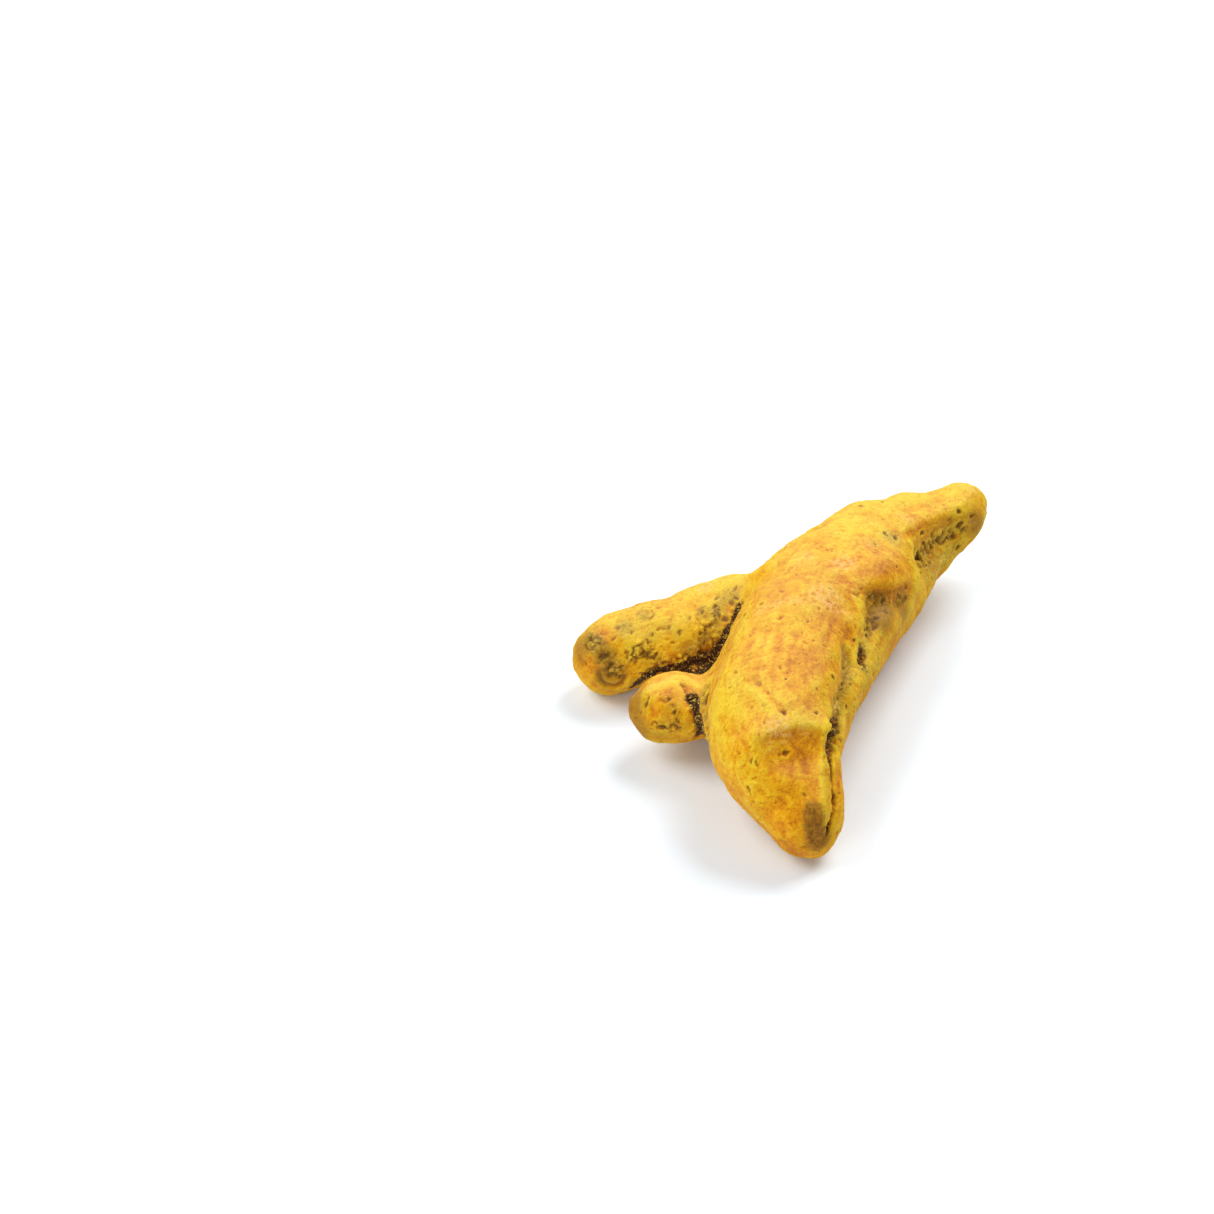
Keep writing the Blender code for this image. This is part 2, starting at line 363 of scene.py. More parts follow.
limbs = limbFrames()
runOfGrain = unit(sum(limb["share"][:, None] * limb["ahead"] for limb in limbs))
grainStretch = 3.2  # how much longer than wide the skin's streaks are
grainPlace = sum(limb["share"][:, None] * np.column_stack([limb["along"] / grainStretch, limb["out"]])
                 for limb in limbs)


# Noise drawn out along the limbs, for streaks, or round them, for growth rings
def grainNoise(size, seed, along=1.0, around=1.0):
    total = np.zeros(len(points))
    for number, limb in enumerate(limbs):
        here = limb["share"] > leastShare
        rows = np.column_stack([limb["along"] / along, limb["out"] / around])[here]
        total[here] += limb["share"][here] * noiseAt(rows, size, seed + 11 * number)
    return total


# Distance to a chain, how far along it the nearest place is, how far to its left the point lies, and
# how far over the chain it stands
def nearChain(chain):
    chain = np.array(chain, dtype=float)
    best = np.full(len(points), np.inf)
    over = np.zeros(len(points))
    place = np.zeros(len(points))
    left = np.zeros(len(points))
    for k, (start, end) in enumerate(zip(chain, chain[1:])):
        run = (end - start)[:3]
        share = np.clip((points - start[:3]) @ run / (run @ run), 0.0, 1.0)
        away = points - start[:3] - share[:, None] * run
        reach = np.linalg.norm(away, axis=1)
        nearer = reach < best
        best[nearer] = reach[nearer]
        place[nearer] = (k + share)[nearer]
        left[nearer] = (away * np.cross(normals, run / np.linalg.norm(run))).sum(axis=1)[nearer]
        over[nearer] = (away * normals).sum(axis=1)[nearer]
    return best, place, left, over


def strokeOf(chain, halfWidth):
    return np.exp(-((nearChain(chain)[0] / halfWidth) ** 2))


def patchOf(place, reach):
    return np.exp(-((np.linalg.norm(points - place, axis=1) / reach) ** 2))


print("limb directions found")

# Ridges and furrows: a chain of points, the half width, and how far it stands out or sinks in
ridges = {
    "cross_crest": ([(-4.05, -22.0, 14.4), (-1.75, -21.3, 15.4), (0.85, -20.5, 15.4), (2.95, -20.2, 14.8)],
        1.0, 0.1),
    "slit_lip": ([(3.7, -17.6, 14.2), (3.5, -19.2, 14.2), (3.3, -20.6, 13.8), (3.05, -21.8, 12.7),
        (2.95, -23.7, 11.3), (2.9, -25.9, 9.8), (2.95, -27.5, 8.2), (3.2, -27.8, 6.6), (3.5, -27.6, 5.4)],
        0.42, 0.2),
    "slit_hollow": ([(5.2, -14.2, 12.6), (5.2, -15.8, 12.5), (5.0, -17.3, 12.4), (4.6, -18.9, 12.0)],
        1.2, -0.35),
    "slit_strip": ([(5.45, -18.0, 11.4), (5.15, -20.4, 10.4), (5.15, -23.0, 9.0), (5.05, -25.4, 7.6),
        (4.45, -26.8, 5.6)], 0.75, 0.25),
    "notch_rim": ([(7.45, 3.0, 15.9), (8.05, 0.7, 15.0), (8.25, -1.2, 14.1), (8.45, -3.3, 13.1),
        (7.55, -5.6, 13.5)], 0.7, 0.12),
    "right_rim": ([(14.55, 14.6, 13.0), (15.15, 12.8, 12.2), (15.35, 11.0, 11.4), (15.15, 9.2, 10.6),
        (14.15, 6.4, 9.6)], 0.8, 0.22),
    "notch_floor": ([(11.15, 4.0, 13.6), (9.85, 2.2, 13.7), (9.65, -0.2, 12.9), (9.15, -2.5, 12.7)],
        0.9, -0.42),
    "flank_crease": ([(12.45, 4.9, 11.7), (12.05, 2.2, 11.8), (11.35, -0.1, 11.6), (10.25, -2.6, 11.6)],
        0.6, -0.22),
    "band_hollow": ([(6.25, -7.6, 14.2), (6.05, -10.0, 13.5), (5.55, -12.6, 13.1)], 0.9, -0.34),
    "band_rim": ([(5.15, -8.0, 15.4), (5.25, -10.4, 14.4), (5.05, -12.6, 13.8), (4.95, -14.6, 13.6)],
        0.7, 0.16),
    "long_pit_lip": ([(7.25, -4.2, 13.9), (7.05, -6.0, 13.7), (7.15, -7.6, 13.2)], 0.55, 0.2),
    "tip_hollow": ([(15.75, 13.8, 10.9), (17.25, 16.4, 10.0), (18.65, 18.7, 9.6), (20.25, 20.1, 9.4)],
        1.5, -0.35),
    "diagonal_groove": ([(-4.35, -14.2, 16.4), (-3.25, -16.5, 16.6), (-2.15, -18.4, 16.4),
        (-0.95, -19.9, 16.0)], 0.5, -0.16),
    "diagonal_ridge": ([(-4.95, -15.2, 15.9), (-4.05, -17.0, 16.0), (-2.95, -18.8, 15.8),
        (-1.75, -20.2, 15.6)], 0.55, 0.13),
    "front_left_dent": ([(-4.35, -23.6, 12.2), (-2.75, -24.2, 12.0)], 1.2, -0.16),
    "finger_end_rim": ([(-21.7, 0.5, 4.6), (-20.9, 0.4, 3.3), (-19.5, 0.4, 2.8), (-18.3, 0.3, 3.6),
        (-17.9, 0.2, 4.8)], 0.4, 0.2),
    "finger_end_groove": ([(-21.2, 0.2, 5.0), (-20.7, 0.3, 3.9), (-19.5, 0.2, 3.5), (-18.6, 0.2, 4.0),
        (-18.2, 0.1, 5.0)], 0.34, -0.3),
    "finger_end_fold": ([(-20.6, 0.1, 5.7), (-19.9, 0.0, 5.1), (-19.2, 0.0, 5.2), (-18.8, 0.1, 5.9)],
        0.32, -0.24),
    "bud_ring": ([(-11.4, -7.9, 9.9), (-10.9, -9.4, 9.5), (-10.5, -10.8, 8.6), (-10.2, -11.3, 7.2),
        (-9.9, -11.0, 5.2), (-9.7, -9.8, 3.6)], 0.75, -0.6),
    "bud_collar": ([(-10.0, -8.6, 10.8), (-9.5, -10.4, 10.0), (-9.2, -12.0, 8.8), (-9.1, -12.6, 7.2),
        (-8.9, -12.4, 5.4)], 0.6, 0.12),
    "bud_dent": ([(-15.9, -8.2, 9.2), (-15.2, -9.9, 7.9)], 0.65, -0.2),
    "bud_fold": ([(-14.9, -9.0, 9.1), (-13.4, -10.3, 8.4), (-12.0, -10.8, 7.6)], 0.7, 0.16),
    "finger_end_lump": ([(-20.4, 0.1, 4.6), (-19.4, 0.0, 4.4)], 0.45, 0.2),
    "finger_root": ([(-6.9, 8.8, 11.4), (-5.7, 9.0, 11.6), (-4.6, 9.0, 11.8), (-3.8, 8.6, 12.2)], 2.2, 0.8),
    "bud_end": ([(-18.3, -6.8, 6.6), (-18.0, -8.4, 5.4), (-16.8, -9.2, 4.2), (-15.4, -9.5, 3.4)], 1.5, 0.5),
    "bud_shoulder": ([(-17.1, -6.3, 8.4), (-15.6, -6.0, 9.6), (-14.0, -5.6, 10.2)], 1.7, -0.45),
    "back_crest": ([(9.6, 21.0, 13.8), (11.9, 22.2, 13.4), (13.8, 23.4, 13.0), (15.6, 24.2, 12.8)],
        2.0, 0.35),
    "back_furrow": ([(-2.4, 12.6, 9.6), (0.2, 14.6, 9.4), (2.6, 17.4, 9.0), (4.6, 20.2, 8.8)], 0.5, -0.28),
    "back_fold": ([(-1.6, 12.6, 11.2), (1.4, 15.6, 11.0), (4.2, 18.8, 10.8)], 0.9, 0.2),
    "finger_back_furrow": ([(-12.6, 10.6, 5.8), (-10.2, 11.6, 6.8), (-7.6, 12.3, 7.0)], 0.45, -0.2),
    "crevice_floor": ([(-5.55, 5.2, 10.8), (-6.65, 3.2, 8.8), (-8.35, 1.6, 6.9), (-11.15, 0.4, 6.2),
        (-13.95, 0.0, 5.4)], 1.0, -0.4),
}
# Steps, where the skin on the left of the chain stands over the skin on its right:
# a chain of points, how far each side reaches, the rise, the fall, and how soft the edge is
steps = {
    "cross_step": ([(-2.95, -22.2, 14.8), (-1.85, -21.9, 15.1), (-0.35, -21.5, 15.2), (1.15, -21.1, 15.0),
        (2.55, -20.8, 14.6), (3.35, -20.6, 14.1)], 1.4, 2.2, 0.06, 0.26, 0.35),
    "hump_step": ([(-1.35, -3.4, 17.6), (0.45, -4.0, 18.0), (2.45, -4.2, 17.9), (4.25, -4.2, 17.2),
        (5.65, -4.0, 16.2), (6.65, -4.6, 15.0)], 1.8, 2.6, 0.1, 0.14, 0.7),
    "knob_step": ([(6.45, 3.9, 16.4), (7.75, 3.1, 15.9), (9.05, 3.0, 15.2), (10.55, 3.9, 14.4),
        (11.95, 4.9, 13.8), (13.15, 6.0, 13.1), (14.15, 7.6, 12.6)], 1.6, 1.7, 0.08, 0.4, 0.6),
    "tip_step": ([(14.15, 15.8, 13.9), (15.85, 17.9, 13.1), (17.55, 19.8, 12.4), (19.65, 21.2, 12.0),
        (21.65, 22.0, 11.6)], 1.6, 1.4, 0.1, 0.16, 0.4),
}
# Slits and long pits: x, y, z, half width and depth at each station
slits = {
    "front_slit": [
        (5.1, -15.6, 12.5, 0.8, 0.2), (4.9, -16.8, 12.6, 1.25, 0.55), (4.5, -18.2, 12.3, 1.6, 1.0),
        (4.0, -19.7, 11.9, 1.4, 1.2), (3.7, -21.3, 11.3, 0.75, 0.8), (3.8, -22.4, 10.6, 0.32, 0.38),
        (3.8, -24.1, 9.4, 0.28, 0.34), (3.9, -25.4, 8.4, 0.44, 0.65), (3.7, -26.4, 7.1, 0.48, 0.8),
        (3.6, -27.4, 5.9, 0.46, 0.75), (3.7, -27.7, 5.0, 0.3, 0.3),
    ],
    "long_pit": [
        (8.2, -3.9, 13.0, 0.3, 0.15), (8.1, -4.8, 12.8, 0.6, 0.42), (8.0, -5.8, 12.7, 0.75, 0.55),
        (8.2, -6.8, 12.4, 0.6, 0.42), (8.5, -7.7, 12.1, 0.35, 0.15),
    ],
}
slitEdge = {
    "wander": 0.6,
    "wanderSize": 0.9,
    "fray": 0.35,
    "fraySize": 0.45,
    "floor": 0.35,
    "floorSize": 0.7,
    "reachOver": 0.85,  # how little height over the chain counts as distance from it
    "full": 0.25,  # of the half width, where the slit has its full depth
    "end": 1.2,
}
# Roughness that lies all over: the size of each kind, for three of them how drawn out, and the height
allOver = {
    "lumps": [(4.6, 0.16), (1.9, 0.09), (0.85, 0.045)],  # soft, small, and a rough crinkle
    "dimples": (2.3, 0.06),
    "dimpleBend": (1.2, 0.6),
    "folds": (1.0, 5.0, 0.05),
    "fineFolds": (0.5, 7.0, 0.025),
    "rings": (1.5, 6.0, 0.035),
    "ringSharpness": 7,
    "ringPatches": 7.0,
    "foldPatches": 6.0,
    "foldSpread": (0.4, 1.2),  # of their height: what is left between those patches, what is added in them
}
# Where the skin is torn into small crumbling cells: a chain of points and how wide
crumbling = {
    "crevice": ([(-5.6, 5.6, 11.1), (-6.6, 3.9, 9.6), (-7.6, 3.1, 8.0), (-8.6, 2.6, 6.8), (-10.0, 2.0, 6.4),
        (-11.6, 1.4, 6.2), (-13.1, 0.9, 5.8), (-14.7, 0.5, 6.0), (-16.4, 0.4, 5.2)], 1.1),
    "finger_lip": ([(-8.05, 5.2, 10.3), (-8.95, 4.2, 9.4), (-10.15, 3.2, 8.5)], 0.9),
    "finger_flank": ([(-17.35, 0.7, 7.8), (-15.95, 1.2, 8.2), (-14.75, 1.0, 7.4)], 1.25),
    "finger_end": ([(-22.3, 2.4, 8.2), (-21.2, 1.2, 7.8), (-20.3, 0.4, 6.8), (-19.4, 0.1, 6.0)], 1.4),
    "knob_under": ([(12.0, 4.8, 12.4), (13.5, 6.8, 11.2)], 0.7),
    "bud_face": ([(-13.6, -9.5, 9.4), (-12.8, -10.5, 8.5), (-12.6, -10.9, 7.4)], 0.7),
    "bud_low": ([(-14.2, -10.8, 6.4), (-12.3, -11.0, 6.6)], 0.6),
    "bud_ring": ([(-11.3, -8.3, 9.8), (-10.6, -10.2, 9.2), (-10.2, -11.3, 7.6), (-9.8, -11.0, 5.0)], 1.1),
    "bud_flank": ([(-9.9, -9.2, 10.4), (-9.2, -12.2, 9.0), (-8.9, -14.0, 8.6), (-8.6, -16.6, 9.0)], 0.8),
    "tip_flank": ([(16.05, 14.6, 10.6), (17.65, 16.9, 9.9)], 1.1),
    "tip_end": ([(20.05, 21.2, 10.8), (21.45, 21.6, 10.4)], 0.9),
    "notch": ([(9.6, 2.6, 14.2), (11.0, 3.7, 12.8), (9.8, 0.7, 13.1), (8.7, -1.7, 13.2)], 1.1),
    "long_pit": ([(8.1, -4.6, 12.8), (8.1, -6.0, 12.6), (8.5, -7.6, 12.2)], 0.9),
    "back_flank": ([(-1.2, 14.0, 8.2), (0.9, 16.0, 6.4), (3.2, 19.0, 5.8)], 1.1),
    "tip_under": ([(16.5, 15.2, 10.1), (17.2, 17.9, 10.3), (19.1, 20.0, 10.1), (20.9, 20.9, 10.2)], 1.05),
}
crumble = {
    "size": 0.95,
    "height": 0.12,
    "gap": 0.26,
    "lumpSize": 1.1,
    "lump": 0.2,
    "fineSize": 0.55,
    "fine": 0.4,
    "bendSize": 1.1,
    "bend": 1.2,
    "edgeSize": 1.5,
    "edge": 0.7,
    "closedSize": 1.3,  # of the spots where the gaps between the cells close
    "sunkFine": 1.2,
}


def carve():
    lift = np.zeros(len(points))
    for chain, halfWidth, height in ridges.values():
        lift += height * strokeOf(chain, halfWidth)
    for chain, high, low, rise, fall, soft in steps.values():
        away, _, left, _ = nearChain(chain)
        onTop = rise * np.exp(-((away / high) ** 2))
        below = -fall * np.exp(-((away / low) ** 2))
        share = 0.5 + 0.5 * np.tanh(left / soft)
        lift += share * onTop + (1 - share) * below
    return lift


# The torn cells, and how strong they are at each point
def crumbleSkin():
    strength = np.zeros(len(points))
    for chain, halfWidth in crumbling.values():
        strength = np.maximum(strength, strokeOf(chain, halfWidth))
    strength = smoothStep(0.3, 0.9, strength + crumble["edge"] * noiseAt(points, crumble["edgeSize"], 21))
    bend = np.column_stack([noiseAt(points, crumble["bendSize"], seed) for seed in (22, 23, 24)])
    border = cellsAt(points + crumble["bend"] * bend, crumble["size"], 25)[0]
    gap = 1 - smoothStep(0.02, crumble["gap"], border)
    gap *= smoothStep(-0.25, 0.35, noiseAt(points, crumble["closedSize"], 27))
    fine = noiseAt(points, crumble["fineSize"], 26)
    lift = crumble["height"] * (0.5 - gap) + crumble["fine"] * fine
    lift += crumble["lump"] * noiseAt(points, crumble["lumpSize"], 28)
    sunk = np.clip(gap + crumble["sunkFine"] * smoothStep(0.0, -0.5, fine), 0.0, 1.0)
    return lift * strength, strength, sunk * strength


# Lumps, dimples, folds and growth rings all over, and the folds alone for the tints
def coverAllOver():
    lift = np.zeros(len(points))
    for (size, height), seed, kind in zip(allOver["lumps"], (1, 2, 3), (noiseAt, noiseAt, roughAt)):
        lift += height * kind(points, size, seed)
    size, bend = allOver["dimpleBend"]
    bent = points + bend * noiseAt(points, size, 4)[:, None]
    size, height = allOver["dimples"]
    middle = cellsAt(bent, size, 5)[1]
    lift -= height * (1 - smoothStep(0.0, 0.6, middle))
    size, stretch, foldHeight = allOver["folds"]
    folds = grainNoise(size, 6, along=stretch)
    size, stretch, fineHeight = allOver["fineFolds"]
    fine = grainNoise(size, 7, along=stretch)
    wrinkled = smoothStep(-0.15, 0.35, noiseAt(points, allOver["foldPatches"], 8))
    left, added = allOver["foldSpread"]
    lift += (foldHeight * folds + fineHeight * fine) * (left + added * wrinkled)
    size, squeeze, height = allOver["rings"]
    rings = np.clip(1 - allOver["ringSharpness"] * np.abs(grainNoise(size, 9, around=squeeze)), 0.0, 1.0)
    lift -= height * rings * smoothStep(-0.1, 0.3, noiseAt(points, allOver["ringPatches"], 10))
    return lift, folds


def carveSlits():
    lift = np.zeros(len(points))
    inside = np.zeros(len(points))
    wander = 1 + slitEdge["wander"] * noiseAt(points, slitEdge["wanderSize"], 31)
    wander += slitEdge["fray"] * noiseAt(points, slitEdge["fraySize"], 33)
    floor = slitEdge["floor"] * noiseAt(points, slitEdge["floorSize"], 32)
    for stations in slits.values():
        away, place, _, over = nearChain(stations)
        away = np.sqrt(np.maximum(away**2 - slitEdge["reachOver"] * over**2, 0.0))
        stops = np.arange(len(stations))
        halfWidth = np.interp(place, stops, [row[3] for row in stations])
        depth = np.interp(place, stops, [row[4] for row in stations])
        hollow = 1 - smoothStep(slitEdge["full"], slitEdge["end"], away / (halfWidth * wander))
        lift -= hollow * depth * (1 + floor)
        inside = np.maximum(inside, hollow * smoothStep(0.0, 0.5, depth))
    return lift, inside


lift = carve()
roughness, folds = coverAllOver()
lift += roughness
torn, tornStrength, tornSunk = crumbleSkin()
lift += torn
cut, inSlit = carveSlits()
lift += cut
print("ridges, steps, folds and slits carved")

# Pits seen from the front: x, y, z, half length, half width, turn in degrees from the grain, depth, darkness
pits = [
    (5.25, 9.0, 16.2, 0.3, 0.22, 40, 0.2, 0.6), (0.85, 3.5, 16.9, 0.26, 0.2, 0, 0.18, 0.7),
    (3.55, 2.7, 17.3, 0.28, 0.16, 10, 0.12, 0.5), (11.65, 14.0, 15.0, 0.46, 0.3, 70, 0.3, 1.0),
    (12.85, 13.7, 14.5, 0.56, 0.34, 60, 0.34, 0.95), (10.35, 11.6, 15.2, 0.42, 0.2, 30, 0.22, 0.8),
    (9.45, 15.6, 15.3, 0.48, 0.2, 60, 0.14, 0.4), (6.75, 8.6, 16.4, 0.4, 0.18, 70, 0.16, 0.4),
    (1.25, -1.6, 18.0, 0.3, 0.2, 0, 0.12, 0.3), (5.75, 0.2, 16.9, 0.3, 0.16, 50, 0.12, 0.4),
    (-1.35, -13.5, 17.3, 0.4, 0.32, 0, 0.22, 0.6), (-3.95, -15.2, 16.5, 0.55, 0.4, 30, 0.2, 0.35),
    (-2.95, -16.9, 16.6, 0.3, 0.24, 0, 0.14, 0.35), (-1.25, -19.6, 16.0, 0.42, 0.36, 20, 0.3, 0.8),
    (1.15, -19.1, 15.6, 0.26, 0.18, 0, 0.16, 0.5), (2.45, -18.7, 15.2, 0.36, 0.28, 40, 0.26, 0.8),
    (-3.45, -20.7, 15.4, 0.36, 0.24, 0, 0.2, 0.6), (-1.55, -21.0, 15.7, 0.3, 0.2, 80, 0.16, 0.5),
    (-0.75, -23.6, 13.4, 0.46, 0.34, 80, 0.36, 0.7), (-1.45, -23.7, 13.3, 0.4, 0.24, 80, 0.16, 0.4),
    (0.85, -26.2, 9.8, 0.34, 0.28, 0, 0.22, 0.7), (-5.05, -25.0, 9.5, 0.7, 0.24, -18, 0.22, 0.8),
    (-4.85, -23.6, 12.4, 0.6, 0.22, -38, 0.2, 0.75), (-4.2, -23.9, 12.2, 0.7, 0.22, 8, 0.2, 0.75),
    (-10.9, 4.3, 10.2, 0.4, 0.24, 40, 0.2, 0.7), (-9.6, 5.0, 10.4, 0.5, 0.24, 60, 0.22, 0.85),
    (-17.6, 2.2, 9.7, 0.4, 0.28, 20, 0.2, 0.7), (-15.2, 2.2, 9.4, 0.34, 0.26, 50, 0.2, 0.7),
    (-14.4, 3.0, 9.7, 0.3, 0.22, 0, 0.18, 0.6), (-19.6, 2.0, 9.2, 0.44, 0.28, 30, 0.2, 0.7),
    (-8.0, 5.6, 10.7, 0.4, 0.26, 30, 0.22, 0.8), (-12.9, 1.9, 8.6, 0.36, 0.26, 0, 0.2, 0.7),
    (-3.65, -25.8, 8.3, 0.24, 0.18, 0, 0.14, 0.4), (2.55, -15.9, 16.1, 0.3, 0.22, 60, 0.2, 0.8),
    (3.35, -15.8, 15.4, 0.24, 0.18, 30, 0.16, 0.6), (5.45, -13.4, 13.1, 0.34, 0.28, 0, 0.26, 0.9),
    (4.85, -13.6, 13.6, 0.22, 0.18, 0, 0.16, 0.6), (15.35, 19.5, 13.5, 0.4, 0.18, 60, 0.16, 0.4),
    (16.35, 17.6, 12.3, 0.52, 0.36, 0, 0.26, 0.95), (20.75, 21.8, 12.3, 0.46, 0.38, 0, 0.32, 0.9),
    (20.85, 21.2, 10.7, 0.52, 0.42, 20, 0.34, 0.9), (20.25, 20.5, 9.6, 0.55, 0.36, 60, 0.32, 0.8),
    (18.45, 19.2, 10.1, 0.4, 0.26, 0, 0.22, 0.7), (20.75, 20.2, 8.1, 0.55, 0.3, 10, 0.26, 0.7),
    (22.25, 22.4, 11.2, 0.42, 0.34, 0, 0.26, 0.7), (19.55, 21.2, 11.6, 0.36, 0.28, 0, 0.24, 0.7),
    (15.85, 15.2, 10.7, 0.7, 0.5, 70, 0.55, 1.0), (17.35, 15.9, 9.5, 0.34, 0.24, 30, 0.24, 0.9),
    (15.95, 13.0, 10.1, 0.36, 0.24, 0, 0.26, 0.9), (13.25, 6.0, 11.9, 0.42, 0.3, 20, 0.24, 0.6),
    (13.7, 6.9, 10.7, 0.52, 0.36, 20, 0.3, 0.95), (12.65, 5.0, 11.2, 0.3, 0.2, 0, 0.2, 0.5),
    (14.15, 7.8, 11.9, 0.42, 0.3, 0, 0.26, 0.9), (12.9, 5.6, 12.1, 0.46, 0.3, 30, 0.26, 0.8),
    (5.9, -8.7, 14.2, 0.44, 0.28, 20, 0.24, 0.85), (5.6, -12.2, 13.2, 0.4, 0.26, 0, 0.22, 0.8),
    (11.05, 3.7, 12.9, 0.6, 0.34, 0, 0.34, 0.85), (10.15, 0.9, 13.0, 0.46, 0.36, 10, 0.42, 1.0),
    (10.05, -0.4, 12.7, 0.6, 0.36, 0, 0.36, 0.9), (8.75, -2.3, 13.0, 0.36, 0.24, 0, 0.26, 0.9),
    (9.15, 1.6, 13.4, 0.3, 0.18, 0, 0.2, 0.7), (9.45, -1.6, 12.8, 0.28, 0.18, 0, 0.2, 0.8),
    (8.15, -7.9, 12.5, 0.4, 0.26, 20, 0.26, 0.9), (7.25, -9.3, 12.8, 0.3, 0.2, 0, 0.22, 0.8),
    (6.05, -9.0, 13.8, 0.52, 0.34, 0, 0.24, 0.8), (5.75, -11.4, 13.2, 0.46, 0.3, 0, 0.24, 0.8),
    (-2.05, -3.2, 17.5, 0.24, 0.16, 60, 0.12, 0.5), (-2.65, 6.0, 14.3, 0.32, 0.22, 0, 0.14, 0.4),
    (-13.95, 3.1, 9.5, 0.4, 0.3, 0, 0.22, 0.5), (-12.15, 2.7, 9.3, 0.42, 0.32, 40, 0.26, 0.75),
    (-9.75, 3.1, 8.7, 0.34, 0.24, 0, 0.22, 0.7), (-8.65, 4.0, 9.4, 0.4, 0.28, 20, 0.24, 0.7),
    (-19.15, 3.0, 9.8, 0.42, 0.3, 0, 0.2, 0.6), (-17.55, 3.2, 10.2, 0.4, 0.22, 10, 0.18, 0.5),
    (-16.15, 1.5, 8.9, 0.6, 0.42, 50, 0.3, 0.6), (-15.75, 0.8, 7.6, 0.58, 0.44, 30, 0.36, 0.75),
    (-17.95, 0.8, 8.0, 0.44, 0.3, 40, 0.26, 0.8), (-14.75, 0.9, 7.5, 0.42, 0.3, 60, 0.3, 0.75),
    (-17.05, 0.4, 6.9, 0.4, 0.32, 20, 0.28, 0.6), (-21.35, 2.0, 8.6, 0.5, 0.3, 50, 0.24, 0.8),
    (-20.75, 0.8, 7.3, 0.62, 0.46, 30, 0.36, 1.0), (-19.95, 0.4, 6.4, 0.5, 0.36, 20, 0.3, 0.95),
    (-18.65, 0.1, 5.1, 0.4, 0.3, 0, 0.26, 0.8), (-22.15, 2.7, 8.2, 0.42, 0.26, 0, 0.2, 0.6),
    (-7.85, 6.7, 11.2, 0.44, 0.26, 30, 0.22, 0.75), (-5.65, 7.4, 11.7, 0.55, 0.22, 20, 0.2, 0.8),
    (-6.15, 6.1, 11.1, 0.46, 0.34, 50, 0.26, 0.85), (-13.45, 2.2, 8.7, 0.34, 0.24, 0, 0.18, 0.4),
    (-16.1, -8.9, 8.6, 0.85, 0.26, 75, 0.3, 0.9), (-14.2, -10.8, 6.4, 0.6, 0.45, 20, 0.36, 1.0),
    (-12.3, -11.0, 6.6, 0.45, 0.34, 0, 0.3, 0.85), (-12.8, -10.5, 8.5, 0.6, 0.22, 60, 0.3, 0.9),
    (-13.6, -9.5, 9.4, 0.5, 0.22, 50, 0.25, 0.7), (-11.8, -7.7, 10.1, 0.5, 0.24, 10, 0.26, 0.9),
    (-15.0, -10.5, 7.0, 0.32, 0.26, 0, 0.24, 0.75), (-16.7, -9.0, 7.2, 0.3, 0.22, 0, 0.2, 0.5),
    (-9.4, -6.8, 10.1, 0.4, 0.26, 30, 0.2, 0.7), (-9.15, -8.8, 10.9, 0.44, 0.3, 0, 0.24, 0.6),
    (-8.7, -10.4, 11.6, 0.3, 0.2, 0, 0.16, 0.5), (-13.2, 3.2, 9.6, 0.4, 0.26, 20, 0.2, 0.6),
]
# Shallow rings where a rootlet broke off: x, y, z and radius
rootScars = [
    (-15.85, 4.8, 10.6, 0.62), (-9.05, 4.7, 10.0, 0.8), (-15.35, -10.3, 6.7, 0.42), (-17.25, 7.6, 8.6, 0.85),
    (4.85, 15.6, 12.0, 0.9), (-8.35, -13.6, 7.0, 0.85), (12.05, 9.2, 4.4, 0.8), (-2.75, -20.6, 2.4, 0.9),
    (12.85, 21.8, 8.4, 0.75), (8.85, -9.6, 6.2, 0.85), (-12.35, 9.9, 6.4, 0.7), (3.65, 3.0, 0.8, 1.0),
]
# Pits strewn all over: how many are tried, and the range of each value
strewn = {
    "tries": 2600,
    "gap": 1.15,
    "gapSpread": (0.7, 1.7),
    "clear": 0.9,  # of any pit or scar that has its own place
    "lowest": 0.3,  # over the table
    "length": (0.16, 0.36),
    "depth": (0.07, 0.22),
    "darkness": (0.15, 0.75),
    "lean": (2, 2, 1.5),  # how strongly those three lean to their low ends
    "width": (0.55, 0.4),  # of the length: the least, and what is added at most
    "deepShare": 0.12,
    "deep": (1.5, 1.7, 1.5),  # how much longer, deeper and darker the deep ones are
    "seed": 5,
}
# Both shapes: a bowl is full and ends that far out, a band has its height, how far out it is and its width
pitShape = {
    "reach": 2.0,
    "lobes": [(0.16, 2, 3.1), (0.12, 3, 1.7)],  # how deep, how many, and how they turn from pit to pit
    "frayed": 0.45,
    "fraySize": 0.4,
    "bowl": (0.1, 1.15),
    "rim": (0.16, 1.3, 0.3),
    "shade": (0.45, 1.3),
}
scarShape = {
    "reach": 1.9,
    "bent": (0.5, 1.2),
    "broken": (-0.45, 0.15, 1.6),
    "bowl": (0.1, 0.85),
    "bowlDepth": 0.16,
    "rim": (0.08, 1.0, 0.26),
    "moat": (0.08, 1.45, 0.24),
    "bowlShade": 0.55,
    "moatShade": 0.75,
}
pressed = (0.0, 0.5)  # how squarely the skin has to face the press: not at all, and fully
dark = np.zeros(len(points))
dice = np.random.default_rng(strewn["seed"])
pitFray = pitShape["frayed"] * noiseAt(points, pitShape["fraySize"], 53)


def bandOf(reach, middle, width):
    return np.exp(-(((reach - middle) / width) ** 2))


